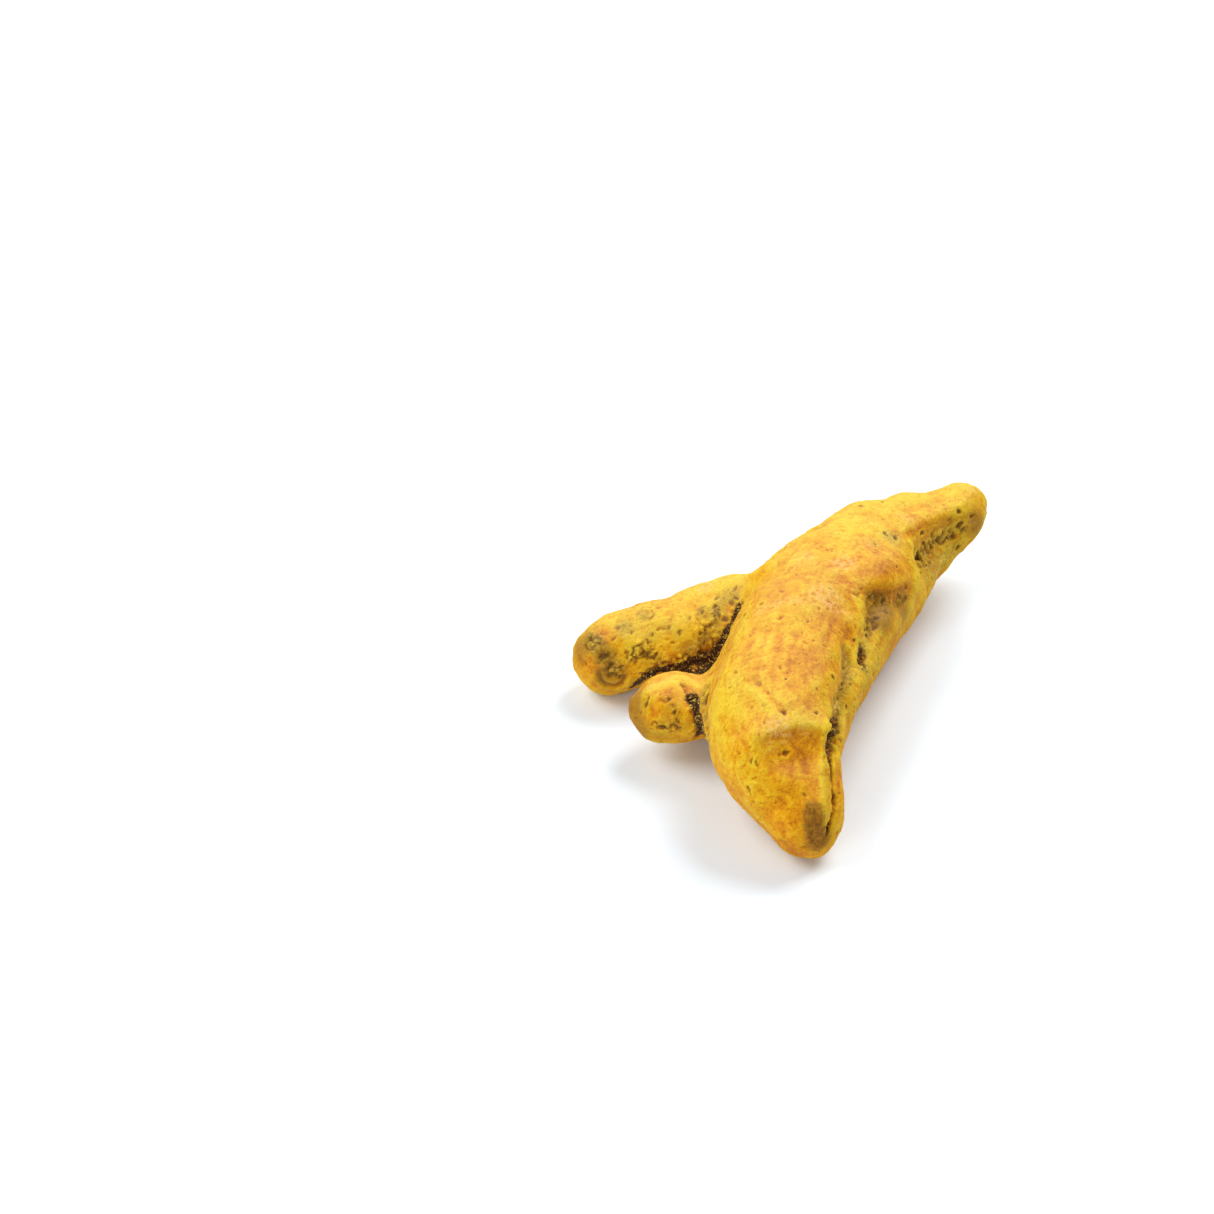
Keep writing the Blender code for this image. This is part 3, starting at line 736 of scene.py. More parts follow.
def pressPit(place, length, width, turn, depth, darkness):
    middle, k, _ = nearest.find(place)
    found = nearest.find_range(middle, pitShape["reach"] * max(length, width))
    index = np.array([row[1] for row in found])
    normal = normals[k]
    ahead = runOfGrain[k] - (runOfGrain[k] @ normal) * normal
    ahead /= np.linalg.norm(ahead)
    side = np.cross(normal, ahead)
    c, s = math.cos(math.radians(turn)), math.sin(math.radians(turn))
    away = points[index] - np.array(middle)
    u = away @ (c * ahead + s * side)
    v = away @ (c * side - s * ahead)
    facing = smoothStep(*pressed, normals[index] @ normal)
    angle = np.arctan2(v / width, u / length)
    lobes = sum((share * np.sin(count * angle + turned * k) for share, count, turned in pitShape["lobes"]), 1)
    r = np.hypot(u / length, v / width) / lobes + pitFray[index]
    bowl = 1 - smoothStep(*pitShape["bowl"], r)
    height, *band = pitShape["rim"]
    lift[index] += facing * depth * (height * bandOf(r, *band) - bowl)
    shade = darkness * facing * (1 - smoothStep(*pitShape["shade"], r))
    dark[index] = np.maximum(dark[index], shade)


def strewPits():
    placed = KDTree(len(pits) + len(rootScars))
    for number, row in enumerate(pits + rootScars):
        placed.insert(row[:3], number)
    placed.balance()
    chosen = []
    for k in dice.integers(0, len(points), strewn["tries"]):
        place = points[k]
        gap = strewn["gap"] * dice.uniform(*strewn["gapSpread"])
        values = dice.uniform(0, 1, 5)
        if placed.find(place)[2] < strewn["clear"] or inSlit[k] > 0.1 or place[2] < strewn["lowest"]:
            continue
        if any(np.linalg.norm(place - other) < gap for other in chosen):
            continue
        chosen.append(place)
        ranges = (strewn["length"], strewn["depth"], strewn["darkness"])
        length, depth, darkness = (np.interp(value**lean, (0, 1), ends)
                                   for value, lean, ends in zip(values, strewn["lean"], ranges))
        if values[4] < strewn["deepShare"]:
            longer, deeper, darker = strewn["deep"]
            length *= longer
            depth *= deeper
            darkness = min(1.0, darker * darkness)
        least, added = strewn["width"]
        pressPit(place, length, length * (least + added * values[3]), 180 * values[3], depth, darkness)
    return len(chosen)


def pressRootScars():
    for x, y, z, radius in rootScars:
        middle, k, _ = nearest.find((x, y, z))
        found = nearest.find_range(middle, scarShape["reach"] * radius)
        index = np.array([row[1] for row in found])
        reach = np.linalg.norm(points[index] - np.array(middle), axis=1) / radius
        facing = smoothStep(*pressed, normals[index] @ normals[k])
        share, size = scarShape["bent"]
        reach *= 1 + share * noiseAt(points[index], size, 51)
        none, whole, size = scarShape["broken"]
        facing = facing * smoothStep(none, whole, noiseAt(points[index], size, 52))
        rimHeight, *band = scarShape["rim"]
        rim = bandOf(reach, *band)
        moatDepth, *band = scarShape["moat"]
        moat = bandOf(reach, *band)
        bowl = 1 - smoothStep(*scarShape["bowl"], reach)
        lift[index] += facing * (rimHeight * rim - moatDepth * moat - scarShape["bowlDepth"] * bowl)
        shade = facing * np.maximum(scarShape["bowlShade"] * bowl, scarShape["moatShade"] * moat)
        dark[index] = np.maximum(dark[index], shade)


for pit in pits:
    pressPit(pit[:3], *pit[3:])
pressRootScars()
print("pits pressed:", len(pits), "placed and", strewPits(), "strewn")

carved = points + lift[:, None] * normals
low, high = np.array(solidBox[0]) / mm, np.array(solidBox[1]) / mm
carved = np.clip(carved, low, high)
writePlaces(mesh, carved)
evenedOut = {"fine": 4, "wide": 30}  # rounds: what stands over the evened skin is a bump
fineBump, wideBump = (((carved - spread(carved, edges, rounds)) * readNormals(mesh)).sum(axis=1)
                      for rounds in evenedOut.values())
print("skin carved, deepest", round(float(lift.min()), 2), "mm")

# Where each tint lies: patches (x, y, z, reach, strength), then strokes (chain, half width, strength)
tints = {
    # warmer orange to rust: the skin's own tone, with painted shade along the knob's lower edge, along the step
    # before the tip and at the bud's left end
    "warm": [
        (0.65, -22.6, 13.2, 2.4, 0.65), (-0.2, -25.1, 11.0, 3.2, 0.65), (0.45, -27.4, 3.4, 3.4, 0.8),
        (0.3, -26.8, 7.2, 2.6, 0.95), (10.55, 5.9, 15.6, 3.2, 0.95), (12.85, 8.6, 13.4, 2.2, 0.6),
        (4.6, -6.6, 16.4, 3.4, 0.85), (2.2, -11.4, 16.8, 4.2, 0.8), (-2.35, 0.4, 16.4, 3.0, 0.35),
        (-4.95, -21.6, 11.4, 3.2, 0.35), (-21.15, 1.0, 6.0, 3.2, 0.75), (-13.15, -9.4, 8.6, 2.6, 0.5),
        (-16.75, -7.0, 6.8, 2.2, 0.6), (-11.35, 2.6, 8.4, 2.0, 0.15), (17.05, 20.0, 12.9, 2.0, 0.5),
        (22.85, 24.4, 12.6, 2.0, 0.5), (-4.35, -7.6, 14.8, 3.4, 0.25), (11.85, 1.2, 9.4, 3.0, 0.4),
        (22.7, 22.6, 11.1, 1.8, 0.8), (9.6, 3.4, 15.2, 1.5, 0.8), (11.6, 0.6, 11.6, 2.6, 0.5),
        (-14.0, -9.6, 8.6, 1.8, 0.7),
        ([(4.85, -3.2, 16.9), (6.05, -4.2, 15.8), (6.85, -5.6, 14.4)], 1.4, 0.6),
        ([(14.6, 15.6, 13.9), (15.9, 17.6, 13.4), (17.3, 19.4, 12.8), (19.0, 20.7, 12.3)], 0.7, 0.7),
        ([(10.4, 3.9, 14.4), (12.4, 5.6, 13.2), (13.9, 7.8, 12.4)], 1.3, 1.0),
        ([(4.9, -21.8, 10.2), (4.7, -24.4, 8.7), (4.5, -26.6, 6.6)], 0.6, 0.7),
    ],
    "lemon": [
        (7.65, 15.4, 15.2, 5.0, 0.8), (1.85, 7.4, 16.3, 4.0, 0.5), (17.85, 22.8, 13.2, 3.6, 0.7),
        (11.9, 20.9, 13.9, 3.4, 0.9), (15.2, 21.6, 13.6, 2.6, 0.9), (-8.05, -17.1, 12.6, 3.0, 0.6),
        (6.6, 9.8, 16.2, 2.4, 0.9), (-1.75, -8.9, 17.5, 2.6, 0.45), (-14.35, 3.4, 9.8, 2.4, 0.7),
        (-10.15, 8.4, 10.9, 3.0, 0.6), (-18.35, 4.2, 10.2, 2.4, 0.4), (-9.75, -6.4, 10.0, 2.4, 0.7),
        (-4.35, 6.4, 13.0, 2.6, 0.5), (3.45, -15.0, 15.6, 2.0, 0.4), (-7.35, -14.0, 13.6, 2.6, 0.4),
        ([(-4.05, 1.0, 15.3), (-5.05, -3.7, 15.6), (-5.85, -7.9, 15.6), (-6.45, -12.0, 15.4),
          (-6.25, -15.6, 15.0), (-5.85, -18.4, 14.4)], 1.4, 0.6),
        ([(-4.95, -15.4, 15.9), (-3.35, -18.2, 16.0), (-1.15, -20.4, 15.8), (1.65, -20.0, 15.4)], 1.0, 0.85),
        ([(7.75, 2.0, 15.7), (8.25, -0.8, 14.2), (8.55, -3.3, 13.0), (7.25, -5.6, 13.6), (7.15, -8.2, 13.2)],
          0.7, 0.8),
        ([(14.55, 14.6, 13.2), (15.35, 11.4, 11.6), (15.05, 8.9, 10.4), (13.85, 5.9, 9.4)], 0.8, 0.8),
        ([(3.55, -17.8, 14.3), (2.75, -21.4, 13.0), (3.15, -25.4, 10.0), (2.85, -27.4, 7.8),
          (3.35, -27.5, 5.4)], 0.5, 0.3),
        ([(-16.65, -7.6, 8.7), (-13.95, -6.9, 10.2), (-11.15, -6.2, 10.4)], 1.1, 0.8),
        ([(7.75, 18.5, 14.6), (14.95, 22.4, 13.3), (21.45, 25.1, 12.9)], 1.6, 0.6),
        ([(-17.0, 2.0, 9.2), (-13.0, 2.4, 9.0), (-9.0, 4.0, 9.6)], 2.4, 0.75),
    ],
    # pinkish tan: partly the skin's own tone, partly a painted highlight on the top of the hump and on the cross
    # crest
    "blush": [
        (-1.65, -21.6, 15.3, 1.9, 0.9), (1.15, -21.0, 15.0, 1.4, 0.5), (4.15, -1.4, 17.4, 2.6, 1.0),
        (2.05, 6.8, 16.5, 2.8, 0.5), (6.25, 6.4, 16.4, 2.2, 0.8), (9.95, 16.3, 15.1, 2.2, 0.4),
        (9.65, 11.4, 15.6, 2.2, 0.6), (-9.05, 8.6, 11.2, 1.6, 0.7), (-5.55, -20.6, 13.0, 2.6, 0.4),
        (23.05, 25.6, 13.4, 1.4, 0.6), (-16.15, 2.2, 9.6, 1.4, 0.4), (14.65, 17.6, 14.0, 1.6, 0.6),
        (-7.15, -9.6, 13.6, 2.4, 0.35),
        ([(-3.05, -3.0, 16.9), (0.25, -2.4, 18.0), (3.75, -3.0, 17.4), (6.75, -2.4, 15.7)], 1.1, 0.6),
    ],
    "olive": [
        (-18.35, 2.8, 9.9, 1.6, 0.8), (-16.1, 4.2, 10.6, 1.1, 0.8), (-13.4, 3.2, 9.6, 1.2, 0.6),
        (-12.35, 2.6, 9.2, 1.0, 0.6), (-22.6, 3.6, 8.4, 1.8, 0.6), (-9.3, 4.9, 10.2, 1.1, 0.6),
        (-11.1, 4.2, 10.1, 0.9, 0.4), (-15.4, 2.2, 9.4, 1.2, 0.6), (-1.15, -23.6, 13.4, 1.0, 0.3),
        (-13.05, -9.9, 8.9, 1.0, 0.5), (-16.0, -8.9, 8.4, 0.9, 0.5), (-14.2, -10.7, 6.9, 1.0, 0.6),
        (-12.35, -10.8, 6.6, 0.9, 0.5), (-4.05, -14.9, 16.5, 0.9, 0.5), (12.4, 13.7, 14.7, 1.6, 0.8),
        (10.4, 11.6, 15.2, 1.2, 0.5), (18.65, 16.6, 6.4, 2.2, 0.4), (4.15, -9.6, 15.8, 2.4, 0.35),
        (4.3, -4.4, 16.8, 1.6, 0.25), (20.4, 21.9, 12.4, 1.0, 0.5), (22.3, 22.2, 10.6, 1.5, 0.8),
        (10.8, 1.7, 12.6, 1.5, 0.5), (17.2, 15.4, 8.8, 1.8, 0.75), (0.3, 15.4, 6.8, 2.4, 0.65),
        (5.2, 20.9, 7.6, 1.7, 0.5), (-8.1, 12.4, 5.9, 1.8, 0.6), (-13.9, 10.2, 5.1, 1.3, 0.55),
        (7.2, 19.6, 13.4, 1.3, 0.4), (8.4, 10.9, 15.9, 0.8, 0.35), (5.4, 13.2, 15.4, 0.9, 0.35),
        (13.3, 16.2, 14.5, 0.8, 0.35),
        ([(15.6, 14.6, 11.0), (16.9, 17.0, 10.6), (18.9, 19.8, 10.4), (20.9, 21.0, 10.4), (22.1, 22.1, 11.3)],
          2.2, 0.62),
        ([(16.2, 13.0, 9.4), (18.4, 17.4, 8.2), (20.4, 20.0, 8.4)], 1.8, 0.7),
        ([(15.6, 16.0, 12.5), (17.5, 18.8, 11.5), (20.2, 21.5, 12.1), (21.8, 22.4, 12.0)], 1.2, 0.4),
        ([(9.3, 2.8, 14.8), (11.1, 4.0, 13.5), (12.9, 5.6, 12.3), (14.2, 7.8, 11.8)], 1.2, 0.45),
        ([(11.0, 3.6, 12.8), (9.8, 0.7, 13.1), (8.8, -1.7, 13.2), (8.3, -4.0, 12.9)], 1.5, 0.6),
        ([(13.9, 7.2, 10.8), (12.6, 4.8, 11.6), (11.4, 2.6, 12.4), (11.2, 0.9, 12.3)], 1.4, 0.6),
        ([(15.3, 9.0, 10.4), (12.9, 3.6, 10.6), (10.5, -1.9, 11.6), (8.4, -9.3, 10.8), (6.9, -13.5, 11.0)],
          2.3, 0.42),
        ([(6.5, -7.8, 13.8), (6.4, -10.2, 13.2), (5.8, -12.6, 12.9)], 1.0, 0.8),
        ([(8.0, -4.4, 12.9), (8.2, -6.0, 12.7), (8.5, -7.8, 12.2)], 1.1, 0.8),
        ([(5.3, -14.0, 12.7), (5.2, -16.0, 12.5), (4.8, -18.0, 12.4), (4.3, -19.6, 12.3)], 1.3, 0.95),
        ([(3.7, -21.6, 11.6), (3.8, -24.0, 9.9), (3.7, -26.6, 7.6), (3.6, -27.7, 5.6)], 0.6, 0.45),
        ([(-22.1, 2.6, 8.3), (-21.2, 1.4, 8.0), (-20.4, 0.7, 7.2), (-19.7, 0.2, 6.1)], 1.5, 0.95),
        ([(-21.4, 0.3, 5.2), (-20.2, 0.0, 4.2), (-18.7, 0.1, 5.0)], 0.9, 0.7),
        ([(-18.0, 1.2, 8.6), (-16.6, 1.0, 8.2), (-15.4, 0.6, 7.0), (-14.4, 0.6, 6.6)], 1.4, 0.42),
        ([(-11.4, 2.0, 7.4), (-9.8, 2.7, 7.9), (-8.4, 3.6, 9.0), (-7.3, 6.2, 10.9), (-5.8, 6.8, 11.5)],
          1.1, 0.75),
        ([(-9.6, -8.6, 10.7), (-9.2, -11.8, 9.2), (-8.9, -14.6, 8.6), (-8.6, -17.4, 9.4)], 0.9, 0.8),
        ([(5.8, -7.2, 14.9), (5.9, -9.0, 14.0), (6.1, -10.2, 13.2), (5.5, -12.6, 13.1)], 0.8, 0.95),
    ],
    "brown": [  # a wash, where the skin is weathered, and painted shade at the bud's rounded left end and in the notch under the knob
        (-17.9, -7.4, 6.4, 2.9, 1.25), (-16.9, -8.8, 5.4, 2.3, 1.1), (-14.6, -10.2, 5.2, 2.4, 0.5),
        (-13.0, -10.2, 8.0, 1.6, 0.45), (-20.8, 0.9, 7.4, 1.9, 0.8), (-20.6, 0.2, 4.6, 2.2, 0.6),
        (17.1, 15.6, 8.9, 1.8, 0.6), (22.9, 22.4, 9.8, 1.9, 0.8), (6.0, -9.6, 13.6, 1.4, 0.35),
        (11.2, 3.0, 12.4, 1.6, 1.1), (10.4, 1.0, 12.7, 2.0, 1.1), (13.2, 5.4, 10.6, 2.0, 0.95),
        (-23.4, 3.0, 6.6, 2.4, 0.8), (4.8, -16.4, 12.6, 1.4, 0.6),
        ([(12.6, 3.0, 10.4), (10.6, -2.4, 11.4), (8.4, -9.3, 10.8)], 2.0, 0.3),
    ],
    "crease": [  # thin creases
        ([(-21.3, 0.3, 5.6), (-21.0, 0.3, 4.5), (-20.4, 0.3, 3.8)], 0.5, 0.85),
        ([(-20.4, 0.3, 3.8), (-19.5, 0.2, 3.5), (-18.7, 0.2, 3.9), (-18.3, 0.1, 5.0)], 0.32, 0.7),
        ([(-20.7, 0.1, 5.7), (-20.0, 0.0, 5.1), (-19.3, 0.0, 5.2)], 0.36, 0.75),
        ([(-17.0, 4.4, 10.6), (-16.3, 5.1, 10.8), (-15.4, 5.1, 10.8), (-14.9, 4.5, 10.5)], 0.26, 0.7),
        ([(-10.1, 5.3, 10.5), (-9.3, 5.7, 10.7), (-8.4, 5.2, 10.6), (-8.3, 4.5, 10.2)], 0.26, 0.75),
        ([(-2.4, 12.6, 9.6), (0.2, 14.6, 9.4), (2.6, 17.4, 9.0), (4.6, 20.2, 8.8)], 0.3, 0.7),
        ([(-12.6, 10.6, 5.8), (-10.2, 11.6, 6.8), (-7.6, 12.3, 7.0)], 0.26, 0.6),
    ],
    "raw": [  # split open
        ([(3.9, -24.9, 8.9), (3.8, -25.9, 7.8), (3.7, -26.8, 6.6), (3.6, -27.5, 5.4)], 0.34, 0.8),
        ([(3.7, -21.6, 11.2), (3.75, -23.0, 10.2), (3.8, -24.9, 8.9)], 0.28, 0.45),
    ],
    "scar": [
        (2.6, -27.9, 4.8, 1.9, 0.95),
        ([(1.9, -27.4, 8.5), (2.0, -28.0, 7.4), (2.2, -28.2, 5.8)], 1.35, 1.0),
    ],
    "umber": [  # dark wherever it lies: the bud's dark ring, and along the crevice and in the slit's upper hollow dark tissue with painted shade
        (4.7, -18.2, 12.4, 1.3, 0.7), (4.1, -19.9, 12.0, 1.0, 0.6), (3.7, -21.4, 11.4, 0.6, 0.55),
        ([(-10.9, -9.0, 9.6), (-10.6, -10.2, 9.1), (-10.3, -11.1, 8.2), (-10.0, -11.4, 6.7),
          (-9.8, -11.0, 4.8), (-9.7, -10.2, 3.8)], 0.78, 0.95),
        ([(-5.3, 5.5, 11.1), (-5.8, 4.7, 10.5), (-6.4, 3.8, 9.8)], 0.5, 0.9),
        ([(-6.4, 3.7, 9.5), (-7.0, 3.0, 8.4), (-7.6, 2.7, 7.4), (-8.3, 2.2, 6.3)], 0.66, 1.0),
        ([(-8.3, 2.1, 6.5), (-9.4, 1.8, 6.2), (-10.8, 1.4, 6.0)], 0.76, 1.0),
        ([(-8.0, 1.2, 6.2), (-9.8, 0.7, 5.4), (-11.8, 0.5, 5.2)], 0.9, 1.0),
        ([(-10.6, 1.5, 6.0), (-11.8, 1.2, 5.8), (-13.1, 0.8, 5.5), (-14.7, 0.5, 5.5), (-15.7, 0.3, 4.9),
          (-16.6, 0.4, 4.1), (-17.5, 0.7, 2.8)], 0.58, 1.0),
    ],
    "crevice": [  # painted shade with dark tissue, laid only where other limbs shelter it
        ([(-5.2, 5.8, 11.2), (-6.2, 4.0, 9.9), (-7.2, 2.6, 8.4), (-8.6, 1.4, 6.7), (-11.1, 0.4, 5.8),
          (-13.9, -0.2, 4.8), (-16.1, -0.4, 3.6)], 1.3, 0.9),
    ],
}


# How the tints are put together: shares, noises as size and share, and bumps as gain and most
tinting = {
    "lemon": 0.9,
    "warm": 1.0,
    "folds": 0.3,
    "broad": (7.0, 0.5),
    "patchy": (2.4, 0.3),
    # painted shade in the carved hollows and painted highlight on what stands out
    "wideBump": (6.0, 0.5),
    "fineBump": (9.0, 0.3),
    "wildBlush": (3.6, 0.22),
    "wildOlive": (4.4, 0.3, 0.8),  # size, share on the sides that show, share on the hidden ones
    "oliveHollows": (3.0, 0.1),
    "oliveTorn": 0.15,
    "tornSpeck": 0.9,
    # painted shade: umber laid where little sky reaches the skin
    "umberAndShade": 0.6,
    "umberWild": (1.1, 0.5),
}


def tintOf(name):
    total = np.zeros(len(points))
    for *place, reach, strength in tints[name]:
        shape = strokeOf(place[0], reach) if len(place) == 1 else patchOf(place, reach)
        total = np.maximum(total, strength * shape)
    return total


def keep(name, values):
    made = mesh.attributes.new(name, "FLOAT", "POINT")
    made.data.foreach_set("value", np.clip(values, -1.0, 1.0))


def spreadTints():
    t = tinting
    size, share = t["broad"]
    tone = t["lemon"] * tintOf("lemon") - t["warm"] * tintOf("warm") + share * noiseAt(points, size, 41)
    size, share = t["patchy"]
    tone += share * noiseAt(points, size, 42) + t["folds"] * folds
    # painted shade and highlight: hollows of the carved skin go more orange, what stands out more lemon
    for bump, (gain, most) in ((wideBump, t["wideBump"]), (fineBump, t["fineBump"])):
        tone += np.clip(gain * bump, -most, most)
    keep("tone", tone)
    size, share = t["wildBlush"]
    keep("blush", tintOf("blush") + share * smoothStep(0.1, 0.5, noiseAt(points, size, 43)))
    size, seen, unseen = t["wildOlive"]
    hidden = smoothStep(0.1, 0.7, 0.5 * normals[:, 1] - 0.6 * normals[:, 2] + 0.1 * normals[:, 0])
    wild = smoothStep(0.12, 0.5, noiseAt(points, size, 44)) * (seen + (unseen - seen) * hidden)
    gain, most = t["oliveHollows"]
    olive = np.maximum(tintOf("olive"), wild) - gain * np.clip(fineBump, -most, most)
    keep("olive", olive + t["oliveTorn"] * tornStrength)
    keep("scar", tintOf("scar"))
    keep("speck", np.max([dark, t["tornSpeck"] * tornSunk, tintOf("crease")], axis=0))
    keep("brown", tintOf("brown"))
    keep("split", np.maximum(inSlit, tintOf("raw")))
    # painted shade: dark laid in the crevice and wherever little sky reaches the skin
    crevice = tintOf("crevice") * smoothStep(0.9, 0.5, sky)
    umber = np.max([tintOf("umber"), crevice, t["umberAndShade"] * smoothStep(0.62, 0.25, sky)], axis=0)
    size, share = t["umberWild"]
    keep("umber", umber * (1 + share * noiseAt(points, size, 45)))
    keep("torn", tornStrength)
    # pale dust with a painted sheen on the upward faces
    keep("dustAndSheen", smoothStep(0.55, 1.05, normals[:, 2]))
    grain = mesh.attributes.new("grain_place", "FLOAT_VECTOR", "POINT")
    grain.data.foreach_set("vector", grainPlace.ravel())


spreadTints()
print("tints spread")

skinFinish = {
    "gold": (0.78, 0.372, 0.006),
    "lemon": (0.82, 0.53, 0.024),
    "orange": (0.69, 0.255, 0.004),
    "rust": (0.5, 0.155, 0.005),
    "blush": (0.88, 0.48, 0.15),
    "pale": (0.88, 0.62, 0.12),
    "olive": (0.44, 0.275, 0.03),
    "deepOlive": (0.155, 0.08, 0.012),
    "darkScar": (0.18, 0.075, 0.008),
    "scar": (0.3, 0.12, 0.01),
    "brown": (0.36, 0.165, 0.012),
    "paleScar": (0.46, 0.21, 0.015),
    "speck": (0.17, 0.083, 0.014),
    "umber": (0.04, 0.016, 0.007),
    # pale dust with a painted sheen, laid on the upward faces
    "dust": (1.0, 0.97, 0.92),
    "roughness": 0.9,
    "specular": 0.03,
    "sheen": 0.05,
    "sheenRoughness": 0.6,
    "grain": 0.1,  # height of the powder's grain
}
# Each noise of the skin's paint: size, detail, roughness and bend
skinNoise = {
    "mottle": (1.4, 5.0, 0.66, 0.4),
    "dapple": (0.5, 4.0, 0.68, 0.0),
    "fleck": (0.36, 2.0, 0.5, 0.0),
    "grain": (0.2, 3.0, 0.6, 0.0),
    "dust": (0.11, 2.0, 0.5, 0.0),
}
streakNoise = (0.62, 4.0, 0.62, 0.0)  # drawn out along the limbs
# Each coat over the bare skin: where it begins, where it is at its fullest, and how much it covers there
coats = {
    "blush": (0.15, 0.85, 0.7),
    "washed": (0.4, 1.3, 0.7),
    "flecked": (0.24, 0.46, 0.75),
    "glints": (-0.28, -0.44, 0.65),
    "browned": (0.5, 1.4, 0.85),
    "scarred": (0.95, 1.45, 0.96),
    "specked": (0.25, 1.05, 0.84),
    "opened": (0.25, 0.8, 0.95),
    # the umber coat: dark tissue, and painted shade in closed-in spots
    "umberAndShade": (0.4, 0.6, 0.98),
    # pale dust with a painted sheen on the upward faces
    "dustAndSheen": (0.0, 1.0, 0.035),
}
# Stops of the two soft shades laid over everything
mottling = [(0.36, (0.8, 0.75, 0.66)), (0.46, (0.945, 0.925, 0.88)), (0.57, (1.0, 1.0, 1.0))]
powder = [(0.34, (0.74, 0.6, 0.45)), (0.48, (0.95, 0.92, 0.88)), (0.62, (1.0, 1.0, 1.0))]


class Paint:
    # A material's nodes, laid out as they are asked for
    def __init__(self, name):
        self.material = bpy.data.materials.new(name)
        self.material.use_nodes = True
        self.tree = self.material.node_tree
        self.shader = self.tree.nodes["Principled BSDF"]
        self.place = self.node("ShaderNodeTexCoord").outputs["Object"]

    def node(self, kind):
        return self.tree.nodes.new(kind)

    def feed(self, socket, value):
        if isinstance(value, bpy.types.NodeSocket):
            self.tree.links.new(value, socket)
        elif isinstance(value, tuple):
            socket.default_value = (*value, 1.0)
        else:
            socket.default_value = value

    def noise(self, place, size, detail, rough, bend):
        made = self.node("ShaderNodeTexNoise")
        self.feed(made.inputs["Vector"], place)
        made.inputs["Scale"].default_value = 1 / size
        made.inputs["Detail"].default_value = detail
        made.inputs["Roughness"].default_value = rough
        made.inputs["Distortion"].default_value = bend
        return made.outputs["Fac"]

    def field(self, name, kind="Fac"):
        made = self.node("ShaderNodeAttribute")
        made.attribute_name = name
        return made.outputs[kind]

    # A start, plus each value times its weight
    def mingle(self, start, *parts):
        for value, weight in parts:
            made = self.node("ShaderNodeMath")
            made.operation = "MULTIPLY_ADD"
            self.feed(made.inputs[0], value)
            self.feed(made.inputs[1], weight)
            self.feed(made.inputs[2], start)
            start = made.outputs[0]
        return start

    def larger(self, a, b):
        made = self.node("ShaderNodeMath")
        made.operation = "MAXIMUM"
        self.feed(made.inputs[0], a)
        self.feed(made.inputs[1], b)
        return made.outputs[0]

    def between(self, value, low, high, most=1.0):
        made = self.node("ShaderNodeMapRange")
        made.interpolation_type = "SMOOTHSTEP"
        self.feed(made.inputs["Value"], value)
        made.inputs["From Min"].default_value = low
        made.inputs["From Max"].default_value = high
        made.inputs["To Max"].default_value = most
        return made.outputs["Result"]

    def ramp(self, value, stops):
        made = self.node("ShaderNodeValToRGB")
        band = made.color_ramp
        while len(band.elements) < len(stops):
            band.elements.new(0.5)
        for element, (position, colour) in zip(band.elements, stops):
            element.position = position
            element.color = (*colour, 1.0)
        self.feed(made.inputs["Fac"], value)
        return made.outputs["Color"]

    def mix(self, share, under, over, kind="MIX"):
        made = self.node("ShaderNodeMix")
        made.data_type = "RGBA"
        made.blend_type = kind
        self.feed(made.inputs[0], share)
        self.feed(made.inputs[6], under)
        self.feed(made.inputs[7], over)
        return made.outputs[2]


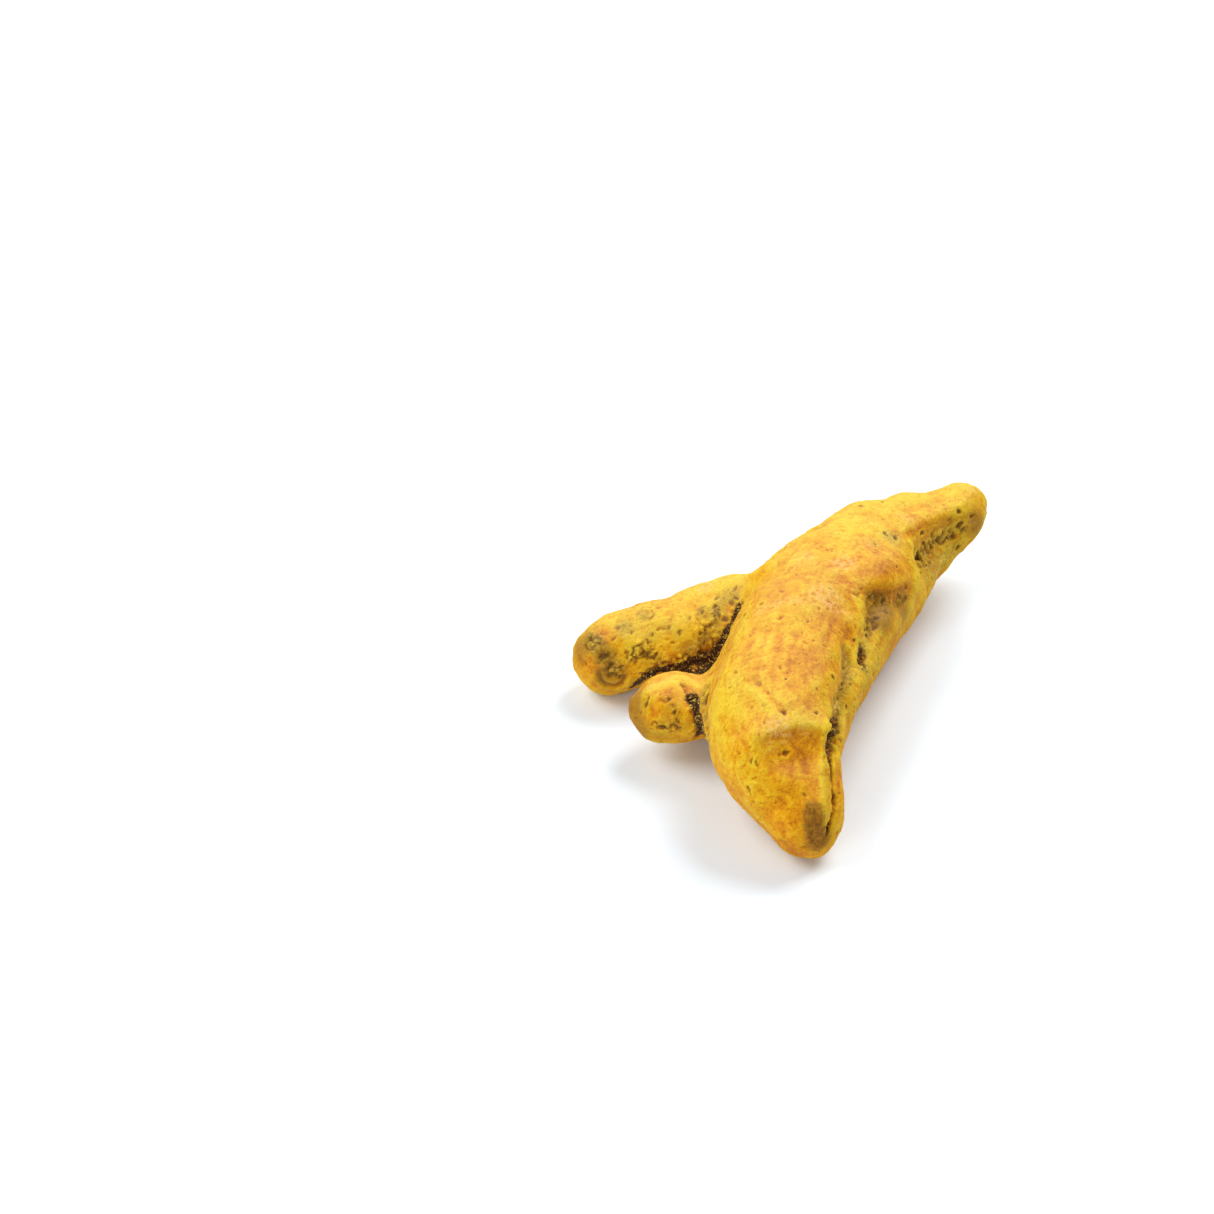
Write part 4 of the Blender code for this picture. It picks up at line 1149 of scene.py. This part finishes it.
def paintSkin():
    f = skinFinish
    p = Paint("turmeric_skin")
    mottle, dapple, fleck, grain, dust = (p.noise(p.place, mm * size, *rest) for size, *rest in skinNoise.values())
    streak = p.noise(p.field("grain_place", "Vector"), *streakNoise)
    # from rust through orange and gold to lemon; the tone carries painted shade in the hollows and painted
    # highlight on what stands out
    level = p.mingle(0.01, (dapple, 0.36), (mottle, 0.42), (streak, 0.2), (p.field("tone"), 0.24))
    colour = p.ramp(level, [(0.22, f["rust"]), (0.36, f["orange"]), (0.52, f["gold"]), (0.74, f["lemon"])])
    # blush: the skin's pinkish tan, and a painted highlight on the hump and the cross crest
    blushing = p.between(p.mingle(0.0, (p.field("blush"), p.between(dapple, 0.36, 0.6))), *coats["blush"])
    colour = p.mix(blushing, colour, f["blush"])
    # olive stains: a thin wash, broken up into streaky flecks
    stain = p.field("olive")
    speckle = p.mingle(-1.0, (dapple, 0.6), (streak, 0.8), (fleck, 0.6))
    colour = p.mix(p.between(p.mingle(stain, (mottle, 0.6)), *coats["washed"]), colour, f["olive"])
    colour = p.mix(p.between(p.mingle(speckle, (stain, 0.3)), *coats["flecked"]), colour, f["deepOlive"])
    colour = p.mix(p.between(p.mingle(speckle, (stain, -0.3)), *coats["glints"]), colour, f["pale"])
    # the brown wash: weathered skin, with painted shade at the bud's left end and under the knob
    brownWashAndShade = p.mingle(p.field("brown"), (streak, 0.4), (mottle, 0.5))
    colour = p.mix(p.between(brownWashAndShade, *coats["browned"]), colour, f["brown"])
    scarred = p.mingle(p.field("scar"), (streak, 0.6), (dapple, 0.8))
    scarColour = p.ramp(p.mingle(0.0, (fleck, 0.5), (streak, 0.5)),
                        [(0.38, f["darkScar"]), (0.48, f["scar"]), (0.66, f["paleScar"])])
    colour = p.mix(p.between(scarred, *coats["scarred"]), colour, scarColour)
    # pits, slits and torn edges
    ragged = p.mingle(-0.55, (dapple, 0.6), (grain, 0.5))
    specked = p.between(p.mingle(ragged, (p.field("speck"), 1.0)), *coats["specked"])
    colour = p.mix(specked, colour, f["speck"])
    raw = p.ramp(p.mingle(0.0, (streak, 0.4), (fleck, 0.6)),
                 [(0.42, f["umber"]), (0.52, f["speck"]), (0.58, f["rust"]), (0.66, f["olive"])])
    opened = p.between(p.mingle(p.field("split"), (ragged, 1.3)), *coats["opened"])
    colour = p.mix(opened, colour, raw)
    # the umber coat: dark tissue, and painted shade in the crevice and wherever the skin is closed in
    darkest = p.ramp(p.mingle(0.0, (grain, 0.5), (dapple, 0.5)),
                     [(0.51, f["umber"]), (0.55, f["speck"]), (0.58, f["olive"]), (0.63, f["pale"])])
    umberAndShade = p.between(p.mingle(p.field("umber"), (ragged, 1.5)), *coats["umberAndShade"])
    colour = p.mix(umberAndShade, colour, darkest)
    # soft dark mottling, the powder's finer grain, and on the upward faces its pale dust with a painted sheen
    colour = p.mix(1.0, colour, p.ramp(p.mingle(0.0, (mottle, 0.5), (dapple, 0.5)), mottling), "MULTIPLY")
    colour = p.mix(1.0, colour, p.ramp(p.mingle(0.0, (dust, 0.4), (grain, 0.6)), powder), "MULTIPLY")
    sheenAndDustShare = p.mingle(p.field("dustAndSheen"), (p.larger(opened, umberAndShade), -1.0))
    colour = p.mix(p.between(sheenAndDustShare, *coats["dustAndSheen"]), colour, f["dust"])
    p.feed(p.shader.inputs["Base Color"], colour)
    p.shader.inputs["Roughness"].default_value = f["roughness"]
    p.shader.inputs["Specular IOR Level"].default_value = f["specular"]
    p.shader.inputs["Sheen Weight"].default_value = f["sheen"]
    p.shader.inputs["Sheen Roughness"].default_value = f["sheenRoughness"]
    bump = p.node("ShaderNodeBump")
    crumbs = p.mingle(0.5, (p.field("torn"), 2.6))
    height = p.mingle(0.0, (dust, 0.35), (grain, 0.9), (dapple, 1.3), (streak, 0.9), (fleck, crumbs))
    p.feed(bump.inputs["Height"], height)
    bump.inputs["Strength"].default_value = 1.0
    bump.inputs["Distance"].default_value = mm * f["grain"]
    p.feed(p.shader.inputs["Normal"], bump.outputs["Normal"])
    return p.material


mesh.materials.clear()
mesh.materials.append(paintSkin())
mesh.shade_smooth()
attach(skin, "root")
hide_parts("rhizome")
print("skin painted")
